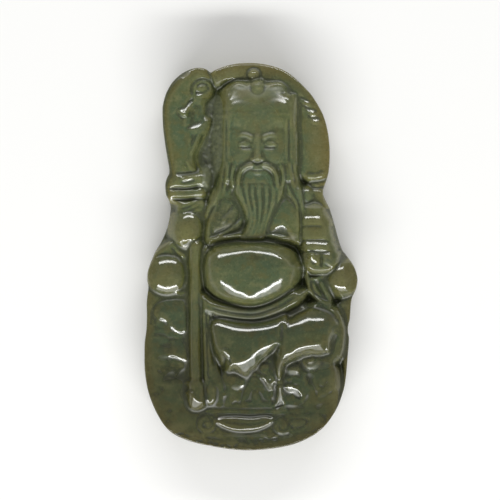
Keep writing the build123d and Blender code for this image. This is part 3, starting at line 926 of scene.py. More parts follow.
# Lap: a broad panel that ends in a point, and the right knee
lapForm = {
    "ground": [
        (sink, [(214, 316), (230, 320), (260, 322), (284, 314), (306, 302), (328, 304), (338, 318),
         (340, 344), (333, 368), (300, 372), (276, 388), (240, 388), (222, 366), (215, 340)], 4.9, 6),
        (form, [(212, 318), (226, 316), (250, 319), (276, 313), (300, 305), (322, 301), (338, 310),
         (344, 334), (338, 360), (318, 364), (280, 376), (244, 380), (222, 366), (213, 342)], 5.25, 0.4,
         9, 0.3),
        (form, [(260, 364), (268, 353), (279, 345), (280.5, 378), (271, 383), (262, 376)], 5.8, 0.6, 9,
         0.35),
    ],
    "panel": [(212, 322), (224, 317), (240, 320), (258, 321), (272, 318), (286, 314), (285, 334),
              (278, 344), (269, 353), (261, 363), (254, 372.5), (247.5, 379), (242, 373.5), (236, 369),
              (228, 367), (221, 362), (216, 352), (213, 338)],
    "panelTop": (7.2, 0.3, 3, 0.15),           # crest, depth, edge and blend
    "panelRow": 342, "panelBow": 0.0062, "panelMiddle": 250, "panelCurve": 0.0034,
    "panelLeft": 236, "panelSide": 0.0012,
    "panelEdge": [(200, 330), (214, 342), (222, 348), (227, 349.6), (229.4, 355), (231.6, 359.6),
                  (236, 360.6), (244, 357.4), (252, 351.4), (261, 345), (270, 342.4), (286, 341)],
    "panelBevel": 4.0,
    "knee": [(278, 320), (286, 317), (292, 317), (300, 312), (312, 307.5), (325, 308), (333, 315),
             (338, 328), (337.5, 341), (331, 350), (318, 353.5), (306, 354), (298, 356.5), (290, 360),
             (284, 366), (280, 377), (277, 372), (278, 356), (278.6, 338)],
    "kneeTop": (7.45, 0.3, 3, 0.15),
    "kneeRow": 331, "kneeLean": 0.4, "kneeLeft": 308, "kneeCurve": 0.0034,
    "kneeRight": 300, "kneeSide": 0.0011,
    "kneeEdge": [(276, 362), (280, 356), (284, 352), (290, 350), (296, 346), (303, 344), (312, 343),
                 (320, 342), (326, 337), (331, 329), (345, 322)],
    "kneeBevel": 3.2,
    "slopes": (0.59, 0.72, 8, 1.3),            # as in fallPast
    "lines": [
        (facet, [(223, 347), (228.6, 349.6), (232, 358), (231, 363), (226, 357), (222, 351)],
         (0.22, -0.57), 1.1, 0.03),
        (groove, [(282, 320), (281.5, 332), (280.4, 346), (279, 362)], 3.2, 0.24, (0.15, 0.1)),
        (ridge, [(326, 303), (333, 311), (336.6, 324), (336.8, 340), (333, 354), (328, 363),
         (324, 374)], 2.8, 0.10, (0.15, 0.2)),
    ],
}
pastPanel = fallPast(lapForm["panelEdge"], lapForm["slopes"], lapForm["panelBevel"])
pastKnee = fallPast(lapForm["kneeEdge"], lapForm["slopes"], lapForm["kneeBevel"])


def panelFall(x, y):
    crestRow = lapForm["panelRow"] - lapForm["panelBow"] * (x - lapForm["panelMiddle"])**2
    return (lapForm["panelCurve"] * np.clip(crestRow - y, 0, 50)**2
            + lapForm["panelSide"] * np.clip(lapForm["panelLeft"] - x, 0, 30)**2 + pastPanel(x, y))


def kneeFall(x, y):
    crestRow = lapForm["kneeRow"] + lapForm["kneeLean"] * np.clip(lapForm["kneeLeft"] - x, 0, 40)
    return (lapForm["kneeCurve"] * np.clip(crestRow - y, 0, 50)**2
            + lapForm["kneeSide"] * np.clip(x - lapForm["kneeRight"], 0, 40)**2 + pastKnee(x, y))


carve(lapForm["ground"])
form(lapForm["panel"], *lapForm["panelTop"], panelFall)
form(lapForm["knee"], *lapForm["kneeTop"], kneeFall)
carve(lapForm["lines"])
print("lap carved")

# Hem: curls, nested chevrons, the boot and the trailing folds at the right
fineLine = 0.11                                # mm, depth of the hem's fine lines
hemDrop = fallBelow(378, 0.034)                # the hem leans down towards the seat
hemForm = {
    "mass": [
        (form, [(226, 366), (245, 380), (256, 374), (270, 360), (280, 368), (292, 360), (312, 350),
         (330, 352), (336, 370), (337, 386), (334, 410), (310, 424), (276, 426), (246, 426), (222, 424),
         (222, 388)], 5.3, 0.25, 12, 0.35, hemDrop),
    ],
    "curls": [
        (dome, (234, 377), (9, 8.6), 5.5, 0.3, 0.35),
        (ringGroove, ringLine((234, 377), 3.4), 2.4, fineLine),
        (ringGroove, ringLine((234, 377), 6.4), 2.4, fineLine),
        (dome, (265.4, 366.4), (8, 7.6), 5.8, 0.4),
        (groove, spiralLine((265.4, 366.4), 1.2, 8.0, 90, 1.6), 2.5, fineLine * 1.2, (0.1, 0.1)),
        (form, [(258, 373), (267, 373.5), (275, 372.5), (274.4, 381), (270, 388), (264, 381)], 5.5, 0.3,
         6, 0.3),
        (facet, [(260.6, 374.8), (267, 376.2), (271.6, 378.8), (270.4, 381), (265.6, 379),
         (261, 377.6)], (0.05, -0.585), 1.1, 0.02),
    ],
    "chevronMass": [
        (form, [(254.5, 370.5), (264, 381), (272, 392), (277, 404), (280, 420), (230, 420),
         (235.5, 404), (243.5, 390), (249, 379)], 5.5, 0.2, 8, 0.35, fallBelow(378, 0.0442)),
    ],
    "points": [
        (facet, [(251.6, 390.4), (255.6, 388.8), (259, 390.4), (256.4, 392)], (0, 0.58), 0.8, 0.02),
        (facet, [(250, 401), (257, 402), (264, 401.6), (265, 403.6), (257, 404.6), (250, 403.2)],
         (0, -0.59), 1.0, 0.03),
        (groove, [(237, 381), (242, 388), (247, 380)], 2.4, fineLine * 0.5, (0.1, 0.1)),
        (groove, [(229, 384), (237, 391), (244, 384)], 2.4, fineLine * 0.5, (0.1, 0.1)),
    ],
    "lobe": [
        (form, [(217, 391), (224, 386), (234, 386), (239, 391), (234, 401), (224, 404), (217, 400)],
         5.35, 0.3, 6, 0.25, allOf(hemDrop, fallPast([(212, 401), (219, 397.4), (222.6, 395),
         (227, 392.6), (232.4, 391), (242, 396)], (0.59, 0.25, 4, 0.2), 2.0))),
        (groove, [(230, 405), (236, 400.6), (242.6, 405)], 2.0, fineLine),
    ],
    "fold": [
        (groove, [(277, 366), (276.4, 380), (274.8, 392), (272.6, 405)], 2.8, 0.22, (0.15, 0.15)),
        (form, [(276.4, 379), (281, 377), (284, 384), (283.4, 394), (286, 402), (288, 416), (270, 416),
         (276.4, 400), (276.8, 390)], 5.8, 0.4, 4, 0.2, fallBelow(378, 0.0442)),
        (facet, [(276.6, 381.8), (281.4, 379.4), (282, 382.4), (279, 385)], (0.1, -0.585), 1.0, 0.04),
        (facet, [(277.4, 385), (281.4, 384), (281.6, 392), (283.4, 401), (285, 404), (274.6, 407.6),
         (278, 400), (277.6, 392)], (0.22, -0.68), 1.4, -0.05),
    ],
    "bootLight": [
        (facet, [(283.6, 385.6), (287.6, 382.4), (292.4, 383), (297, 387.6), (301, 395), (298, 398.4),
         (292, 393.4), (286.6, 389.4)], (-0.12, -0.59), 1.1, 0.02),
    ],
    "rightCurls": [
        (dome, (293.6, 366.6), (7, 6), 5.9, 0.35),
        (groove, ringLine((293.6, 367), 3.4, -30, 210), 2.0, fineLine),
        (groove, ringLine((293.6, 367), 6.4, -30, 210), 2.0, fineLine),
        (dome, (309, 358.4), (10, 9.6), 5.9, 0.45),
        (groove, spiralLine((309, 358.4), 1.2, 9, 0, 1.7), 2.5, fineLine * 1.2, (0.1, 0.1)),
        (facet, [(303.4, 366.8), (308.6, 368), (313.4, 367), (312.4, 369), (308, 370), (304, 369)],
         (0, -0.58), 0.9, 0.02),
        (sink, [(303.6, 373), (311, 371), (314.6, 379), (312, 389), (306, 386)], 5.0, 6),
    ],
    "trailing": [
        (form, [(312, 366), (326, 360), (337, 366), (340, 380), (338, 400), (332, 418), (309, 418),
         (309, 394), (315, 384)], 4.95, 0.3, 9, 0.35, hemDrop),
        (groove, [(311, 379), (315, 389), (318.5, 399)], 2.4, fineLine),
        (groove, [(313, 392.6), (322, 388.6), (333, 381)], 3.0, fineLine * 0.8),
        (groove, [(314, 399), (324, 395), (334, 388)], 3.0, fineLine * 0.8),
        (groove, [(317, 381), (322, 385), (330, 376)], 3.0, fineLine * 0.8),
    ],
}
chevrons = {
    "apexY": 373, "low": 404, "count": 4, "shrink": 0.72, "half": 17,
    "lower": 0.8, "step": 4.6,                 # each one ends higher and starts lower
    "columns": (256.4, 255.6, 254.8, 255.8, 256.8),          # of its five points
    "bend": (0.6, 0.62, 0.45), "apexDrop": 2,  # the bends' share of the half width and height
    "width": 2.9, "depth": fineLine * 1.4, "taper": (0.05, 0.05),
}
bootForm = {
    "centre": (294.6, 387), "half": (14, 20), "turn": 24, "top": (5.5, 0.15, 7, 0.35),
    "fall": fallBelow(378, 0.0425),
    "ring": [(-13, -6), (-8, -16), (1.5, -17), (8.6, -9), (12.8, 3), (12.4, 13), (6, 18),
             (-3, 12), (-11, 3)],
    "rings": 4, "outer": 1.05, "shrink": 0.22, "moved": (0.8, 1.0), "width": 2.5,
    "depth": fineLine * 1.1, "outerDepth": fineLine * 0.5,
}
carve(hemForm["mass"], hemForm["curls"], hemForm["chevronMass"])
for i in range(chevrons["count"]):
    low, top = chevrons["low"] - chevrons["lower"] * i, chevrons["apexY"] + chevrons["step"] * i
    half = chevrons["half"] * chevrons["shrink"]**i
    leftBend, rightBend, lowShare = chevrons["bend"]
    bendRow = low * lowShare + top * (1 - lowShare)
    x1, x2, x3, x4, x5 = chevrons["columns"]
    groove([(x1 - half, low), (x2 - half * leftBend, bendRow), (x3, top + chevrons["apexDrop"]),
            (x4 + half * rightBend, bendRow), (x5 + half, low)],
           chevrons["width"], chevrons["depth"], chevrons["taper"])
carve(hemForm["points"], hemForm["lobe"], hemForm["fold"])
bootX, bootY = bootForm["centre"]
bootWide, bootLong = bootForm["half"]
form(ringLine(bootForm["centre"], bootWide, squash=bootLong / bootWide, turn=-bootForm["turn"]),
     *bootForm["top"], bootForm["fall"])
for i in range(bootForm["rings"]):
    size = bootForm["outer"] - bootForm["shrink"] * i
    moveX, moveY = bootForm["moved"]
    ringGroove([(bootX + u * size + moveX * i, bootY + v * size + moveY * i)
                for u, v in bootForm["ring"]],
               bootForm["width"], bootForm["depth"] if i else bootForm["outerDepth"])
carve(hemForm["bootLight"], hemForm["rightCurls"], hemForm["trailing"])
print("hem carved")

# Seat: a curved ledge, a long lens-shaped bar between two curls, and leaves
seatForm = {
    "ledge": [
        (ridge, [(190, 414.4), (200, 411.4), (214, 410), (232, 410.8), (250, 411.2), (270, 410.8),
         (290, 409.6), (304, 409.4)], 3.6, 0.06),
        (groove, [(188, 410.6), (200, 407.4), (214, 406.8), (232, 407.6), (252, 408), (272, 407.6),
         (294, 406.6), (312, 407.6)], 2.8, 0.06, (0.15, 0.15)),
        (groove, [(196, 416), (206, 413.8), (218, 413.2), (234, 413.8), (252, 414.4), (272, 413.6),
         (288, 413)], 2.4, 0.07, (0.15, 0.15)),
    ],
    "bar": [
        (form, [(214, 419), (232, 415.4), (250, 416.4), (266, 415), (275, 419), (268, 424.6),
         (258, 428.6), (246, 430.4), (232, 428.8), (221, 424.8)], 4.72, 0.4, 6, 0.3),
        (groove, [(219, 418.8), (232, 420.6), (246, 422.6), (258, 422), (270, 418.8)], 2.0, 0.14,
         (0.1, 0.1)),
    ],
    "curls": [
        (dome, (206.8, 422.4), (11, 10.4), 4.54, 0.24, 0.3),
        (ringGroove, ringLine((206.8, 422.4), 9.8), 2.6, 0.12),
        (groove, spiralLine((206.8, 422.4), 1.4, 7, 30, 1.2), 2.2, 0.15, (0.1, 0.1)),
        (dome, (282.4, 424.4), (11, 10.4), 4.54, 0.24, 0.3),
        (ringGroove, ringLine((282.4, 424.4), 9.8), 2.6, 0.12),
        (groove, spiralLine((282.4, 424.4), 1.4, 7, 30, 1.2), 2.2, 0.15, (0.1, 0.1)),
        (facet, [(202, 425.4), (204.6, 421.6), (208.6, 420), (211.4, 422), (208.4, 423.4),
         (205.4, 426)], (0.25, -0.55), 1.0, 0.02),
        (facet, [(277.4, 422.4), (281, 419.8), (285.6, 420.6), (283.4, 422.6), (279.8, 423.8)],
         (0.1, 0.58), 0.9, 0.02),
    ],
    "leaves": [
        (form, [(288, 418), (300, 414.5), (316, 413), (324, 418), (314, 428), (300, 431), (290, 428)],
         4.42, 0.3, 7, 0.3),
        (facet, [(283.6, 415), (289, 414.2), (295, 415), (293.6, 417.2), (288, 417.6), (284, 417)],
         (0, -0.58), 0.9, 0.02),
        (ringGroove, [(290, 420), (299, 417.5), (307, 420), (300, 426), (292, 426)], 2.4, 0.12),
    ],
    "foot": [
        (groove, [(190, 433), (215, 437), (246, 438.6), (275, 437.7), (304, 432)], 3.6, 0.10,
         (0.2, 0.2)),
    ],
}
pits = {
    "count": 40, "from": 176, "to": 290, "row": 431, "sag": 12.0,
    "aside": 0.4, "higher": 2.6, "lower": 2.2, "lean": 1.2, "half": 1.2,
    "width": (1.3, 2.4), "depth": 0.11, "depthShare": (0.4, 1.3), "seed": 5,
}
carve(*seatForm.values())
chance = np.random.default_rng(pits["seed"])
for i in range(pits["count"]):
    share = (i + chance.uniform(-pits["aside"], pits["aside"])) / (pits["count"] - 1)
    spotX = pits["from"] + (pits["to"] - pits["from"]) * share
    spotY = (pits["row"] + pits["sag"] * math.sin(0.1 + share * 2.9)
             + chance.uniform(-pits["higher"], pits["lower"]))
    tilt = chance.uniform(-pits["lean"], pits["lean"])
    groove([(spotX - pits["half"], spotY - tilt), (spotX + pits["half"], spotY + tilt)],
           chance.uniform(*pits["width"]), pits["depth"] * chance.uniform(*pits["depthShare"]), (0, 0))
print("seat carved")

# Finish: tool marks are polished soft, then the rim is rounded over
finish = {
    "steepest": 2.0, "rounds": 16,             # slope of the walls, and cells that it reaches
    "filled": 0.6,                             # share of a wall that leans out at its foot
    "polish": 0.85, "wornPolish": 2.4,         # pixels
    "highest": 8.28, "rimRadius": 0.25,        # mm
    "rimLevel": 4.5, "rimSlope": 0.46, "rimCurve": 0.13,
    "patchEdge": 1.6,                          # how sharply the patches below end
    "worn": [((257, 106), (46, 24), 0.8), ((228, 215), (16, 22), 0.5)],
    "rocks": [((166, 405), (30, 40), 1.0), ((168, 350), (22, 60), 0.7), ((235, 438), (90, 16), 1.0),
              ((326, 400), (24, 40), 0.8), ((300, 300), (16, 12), 0.5)],
    "scuffed": [((308, 109), (13, 20), 1.0)],
    "handWork": (2.6, 0.009),                  # width in pixels and height in mm of the bumps
    "rockBumps": (3.2, 0.055), "scuffs": (1.4, 0.024), "seed": 11,
}


# walls no steeper than the edge of a grinding wheel leaves them: each one leans
# out at its foot and in at its top
def leanWalls(field, steepest, rounds):
    drop = steepest * mmPerPixel * cell
    filled, cutBack = field, field
    for i in range(rounds):
        for rows, cols, far in ((1, 0, 1), (-1, 0, 1), (0, 1, 1), (0, -1, 1),
                                (1, 1, 1.414), (-1, 1, 1.414), (1, -1, 1.414), (-1, -1, 1.414)):
            filled = np.maximum(filled, np.roll(filled, (rows, cols), axis=(0, 1)) - drop * far)
            cutBack = np.minimum(cutBack, np.roll(cutBack, (rows, cols), axis=(0, 1)) + drop * far)
    return filled * finish["filled"] + cutBack * (1 - finish["filled"])


# 1 in the middle of each patch, fading to 0 at its half width and height
def patchShare(x, y, patches, sharpness):
    amount = np.zeros(x.shape)
    for (middleX, middleY), (wide, tall), share in patches:
        away = np.hypot((x - middleX) / wide, (y - middleY) / tall)
        amount = np.maximum(amount, share * fade(sharpness * (1 - away)))
    return amount


def bumps(width, height):
    noise = blurred(chance.normal(size=px.shape), width)
    return noise / noise.std() * height


# the stone stays thinner toward its rim, so that the forms there lean gently outward
rimMillimetres = fullDistance * mmPerPixel
shoulder = (finish["rimLevel"] + finish["rimSlope"] * rimMillimetres
            + finish["rimCurve"] * rimMillimetres**2)
polished = np.minimum(leanWalls(relief, finish["steepest"], finish["rounds"]), shoulder)
polished = np.minimum(blurred(polished, finish["polish"]), finish["highest"])
worn = patchShare(px, py, finish["worn"], finish["patchEdge"])
polished = polished * (1 - worn) + blurred(polished, finish["wornPolish"]) * worn
chance = np.random.default_rng(finish["seed"])
inGround = insideOf(smoothLine(sunkGround["outline"], True), rimWindow)
roughGround = blurred(inGround.astype(float), sunkGround["bumpEdge"])
polished += bumps(*sunkGround["bumps"]) * roughGround**2
polished += bumps(*finish["handWork"])
polished += bumps(*finish["rockBumps"]) * patchShare(px, py, finish["rocks"], finish["patchEdge"])
polished += bumps(*finish["scuffs"]) * patchShare(px, py, finish["scuffed"], finish["patchEdge"])


def overRim(height, distance):
    rounded = roundTo(distance * mmPerPixel / finish["rimRadius"])
    return height - finish["rimRadius"] * (1 - rounded)


print("relief finished, highest", round(float(overRim(polished, fullDistance)[inStone].max()), 2), "mm")

# Mesh: rings follow the rim, a square grid fills the middle, a strip joins the two
meshForm = {
    "step": 0.95,                       # pixels between vertices of the carved face
    "backStep": 3.2,                    # the back is flat, so its grid is coarse
    "ringAngles": (18, 36, 54, 72),     # round the edge, from its widest line
    "backRadius": 1.1,                  # mm, of the rounded back edge
    "backAngles": (12, 24, 36, 50),
    "gap": 0.62,                        # pixels kept clear between the last ring and the grid
    "wallRows": (0, 0.33, 0.67, 1),     # shares of the wall's height, from the top
}
millimetre = 0.001
perPixelX = (stoneHigh.x - stoneLow.x) / carvingMap["width"]
perPixelY = (stoneHigh.y - stoneLow.y) / carvingMap["tall"]


def toPlace(x, y):
    return (stoneLow.x + (np.asarray(x) - carvingMap["left"]) * perPixelX,
            stoneHigh.y - (np.asarray(y) - carvingMap["top"]) * perPixelY)


def readMap(field, x, y):
    col = np.clip((x - mapX[0]) / cell, 0, len(mapX) - 1.001)
    row = np.clip((y - mapY[0]) / cell, 0, len(mapY) - 1.001)
    c, r = col.astype(int), row.astype(int)
    u, v = col - c, row - r
    return ((field[r, c] * (1 - u) + field[r, c + 1] * u) * (1 - v)
            + (field[r + 1, c] * (1 - u) + field[r + 1, c + 1] * u) * v)


lengths = np.concatenate([[0], np.cumsum(np.hypot(*(rim[1:] - rim[:-1]).T))])
rimCount = int(lengths[-1] / meshForm["step"])
places = np.linspace(0, lengths[-1], rimCount, endpoint=False)
edgeLine = np.stack([np.interp(places, lengths, rim[:, k]) for k in (0, 1)], axis=1)
tangent = np.roll(edgeLine, -2, axis=0) - np.roll(edgeLine, 2, axis=0)
inward = np.stack([-tangent[:, 1], tangent[:, 0]], axis=1)
inward /= np.hypot(*inward.T)[:, None]


def frontHeight(x, y, share=None):
    height = readMap(polished, x, y)
    if share is not None:
        return height - finish["rimRadius"] * (1 - share)
    return overRim(height, readMap(fullDistance, x, y))


def backHeight(x, y, share=None):
    if share is None:
        share = roundTo(readMap(fullDistance, x, y) * mmPerPixel / meshForm["backRadius"])
    return np.zeros_like(x) + meshForm["backRadius"] * (1 - share)


# rows round the wall, from the carved face down to the rounded back edge
points, faces = [], []
wallTop = frontHeight(edgeLine[:, 0], edgeLine[:, 1], 0)
for share in meshForm["wallRows"]:
    points.append(np.column_stack([edgeLine, wallTop + (meshForm["backRadius"] - wallTop) * share]))
around = np.arange(rimCount)
wallCount = len(meshForm["wallRows"]) - 1
for row in range(wallCount):
    above, below = around + row * rimCount, around + (row + 1) * rimCount
    quad = np.column_stack([above, np.roll(above, -1), np.roll(below, -1), below])
    faces.extend(quad[:, ::-1].tolist())


# a skin: rings inward from the wall, then a square grid, then the strip between them
def addSkin(step, radius, angles, heightOf, upward):
    last = around if upward else around + wallCount * rimCount
    for angle in angles:
        inset = (1 - math.cos(math.radians(angle))) * radius / mmPerPixel
        ring = edgeLine + inward * inset
        first = sum(len(p) for p in points)
        height = heightOf(ring[:, 0], ring[:, 1], math.sin(math.radians(angle)))
        points.append(np.column_stack([ring, height]))
        now = first + around
        quad = np.column_stack([last, np.roll(last, -1), np.roll(now, -1), now])
        faces.extend((quad[:, ::-1] if upward else quad).tolist())
        last = now
    xs = np.arange(mapX[0], mapX[-1], step)
    ys = np.arange(mapY[0], mapY[-1], step)
    gx, gy = np.meshgrid(xs, ys)
    deep = ((readMap(inStone.astype(float), gx, gy) > 0.99)
            & (readMap(fullDistance, gx, gy) > inset + meshForm["gap"]))
    kept = deep[:-1, :-1] & deep[:-1, 1:] & deep[1:, :-1] & deep[1:, 1:]
    corner = (kept[:-1, :-1] & kept[1:, 1:] & ~kept[:-1, 1:] & ~kept[1:, :-1])
    kept[:-1, :-1] &= ~corner                # no two cells that touch at one corner only
    corner = (kept[:-1, 1:] & kept[1:, :-1] & ~kept[:-1, :-1] & ~kept[1:, 1:])
    kept[:-1, 1:] &= ~corner
    used = np.zeros(gx.shape, bool)
    for a, b in ((0, 0), (0, 1), (1, 0), (1, 1)):
        used[a:len(ys) - 1 + a, b:len(xs) - 1 + b] |= kept
    number = np.full(gx.shape, -1)
    number[used] = sum(len(p) for p in points) + np.arange(used.sum())
    points.append(np.column_stack([gx[used], gy[used], heightOf(gx[used], gy[used])]))
    corners = [number[:-1, :-1], number[1:, :-1], number[1:, 1:], number[:-1, 1:]]
    quad = np.stack(corners, axis=-1)[kept]
    faces.extend((quad if upward else quad[:, ::-1]).tolist())
    # the strip between the last ring and the grid
    borders = []
    padded = np.pad(kept, 1)
    for a, b, (down, right) in (((0, 0), (0, 1), (-1, 0)), ((1, 0), (1, 1), (1, 0)),
                                ((0, 0), (1, 0), (0, -1)), ((0, 1), (1, 1), (0, 1))):
        beside = padded[1 + down:1 + down + kept.shape[0], 1 + right:1 + right + kept.shape[1]]
        rows, cols = np.nonzero(kept & ~beside)
        borders += list(zip(number[rows + a[0], cols + a[1]].tolist(),
                            number[rows + b[0], cols + b[1]].tolist()))
    edges = list(zip(last.tolist(), np.roll(last, -1).tolist())) + borders
    members = sorted({v for edge in edges for v in edge})
    place = {v: i for i, v in enumerate(members)}
    everything = np.vstack(points)
    flat = [Vector((everything[v, 0], -everything[v, 1])) for v in members]
    made = delaunay_2d_cdt(flat, [(place[a], place[b]) for a, b in edges], [], 0, 1e-5, True)
    origin = [members[ids[0]] if ids else -1 for ids in made[3]]
    inRing = insideOf(np.vstack([ring, ring[:1]]), rimWindow).astype(float)
    for tri in made[2]:
        ids = [origin[v] for v in tri]
        x, y = everything[ids, 0].mean(), everything[ids, 1].mean()
        row, col = int((y - ys[0]) / step), int((x - xs[0]) / step)
        onRing = all(last[0] <= v <= last[-1] for v in ids)
        if kept[row, col] or (onRing and readMap(inRing, np.array([x]), np.array([y]))[0] < 0.5):
            continue
        faces.append(ids if upward else ids[::-1])
    return len(made[0]) - len(members)


extra = addSkin(meshForm["step"], finish["rimRadius"], meshForm["ringAngles"], frontHeight, True)
extra += addSkin(meshForm["backStep"], meshForm["backRadius"], meshForm["backAngles"],
                 backHeight, False)
points = np.vstack(points)
placeX, placeY = toPlace(points[:, 0], points[:, 1])
stoneMesh = bpy.data.meshes.new("jadeCarving")
stoneMesh.from_pydata(np.column_stack([placeX, placeY, points[:, 2] * millimetre]).tolist(), [], faces)
stoneMesh.validate()
carving = bpy.data.objects.new("carvedPlaque", stoneMesh)
bpy.context.scene.collection.objects.link(carving)
print("carving meshed:", len(stoneMesh.vertices), "points,", len(stoneMesh.polygons), "faces,",
      extra, "extra")

# Cord hole: drilled on a slant from the edge of the crown to the back
cordHole = {"middle": (-1.1286, 24.851, 0.900), "tilt": 34.0, "radius": 0.75, "reach": 6.5}
bpy.ops.mesh.primitive_cylinder_add(vertices=48, radius=cordHole["radius"] * millimetre,
                                    depth=cordHole["reach"] * 2 * millimetre)
drill = bpy.context.object
drill.rotation_euler = (math.radians(cordHole["tilt"] - 90), 0, 0)
drill.location = Vector(cordHole["middle"]) * millimetre
bpy.context.view_layer.update()
cut = carving.modifiers.new("cordHole", "BOOLEAN")
cut.operation, cut.solver, cut.object = "DIFFERENCE", "EXACT", drill
drilled = bpy.data.meshes.new_from_object(carving.evaluated_get(bpy.context.evaluated_depsgraph_get()))
carving.modifiers.remove(cut)
carving.data = drilled
drilled.name = "jadeCarving"
bpy.data.objects.remove(drill)
drilled.polygons.foreach_set("use_smooth", [True] * len(drilled.polygons))
print("cord hole drilled:", len(drilled.vertices), "points")

# Attributes for the colour and polish: how deep a spot lies, which lays painted shade in
# hollows and a painted highlight on small ridges, how steep it is, how near the rim, how
# thin, which lays a painted glow, and where the ground was left unpolished
stoneMarks = {
    "hollows": {"hollow": 5, "wideHollow": 14, "fineHollow": 2.2},     # pixels blurred over
    "steepBefore": 1.2, "steepAfter": 1.5,     # pixels blurred over, before and after the slope
    "steepest": 1.2,                           # mm per mm
    "rimWide": 14,                             # pixels
    "thinBelow": 3.35, "thinOver": 0.7, "thinBlur": 2,       # mm, mm and pixels
    "frontOver": 0.6,                          # mm above the rounded back edge
    "patchEdge": 1.25,                         # how sharply a cloud ends
}
spots = np.empty(len(drilled.vertices) * 3)
drilled.vertices.foreach_get("co", spots)
spots = spots.reshape(-1, 3)
spotX = (spots[:, 0] - stoneLow.x) / perPixelX + carvingMap["left"]
spotY = (stoneHigh.y - spots[:, 1]) / perPixelY + carvingMap["top"]
onFront = np.clip((spots[:, 2] / millimetre - meshForm["backRadius"]) / stoneMarks["frontOver"], 0, 1)


def storeOnPoints(name, values):
    attribute = drilled.attributes.new(name, "FLOAT", "POINT")
    attribute.data.foreach_set("value", values.astype(np.float32))


# the hollows darken recesses, grooves and creases as painted shade, and the small ridges of fineHollow
# are lightened as a painted highlight
for name, width in stoneMarks["hollows"].items():
    storeOnPoints(name, readMap(polished - blurred(polished, width), spotX, spotY) * onFront)
rowSlope, colSlope = np.gradient(blurred(polished, stoneMarks["steepBefore"]), cell * mmPerPixel)
steepness = np.clip(np.hypot(rowSlope, colSlope), 0, stoneMarks["steepest"])
steepness = blurred(steepness, stoneMarks["steepAfter"])
storeOnPoints("steep", readMap(steepness, spotX, spotY) * onFront)
storeOnPoints("rimNear", fade(1 - readMap(fullDistance, spotX, spotY) / stoneMarks["rimWide"]))
# the thin parts are laid pale: a painted glow of light through the thin stone
thickness = readMap(blurred(polished, stoneMarks["thinBlur"]), spotX, spotY)
storeOnPoints("thin", fade((stoneMarks["thinBelow"] - thickness) / stoneMarks["thinOver"]))
storeOnPoints("unpolished", readMap(roughGround, spotX, spotY) * onFront)

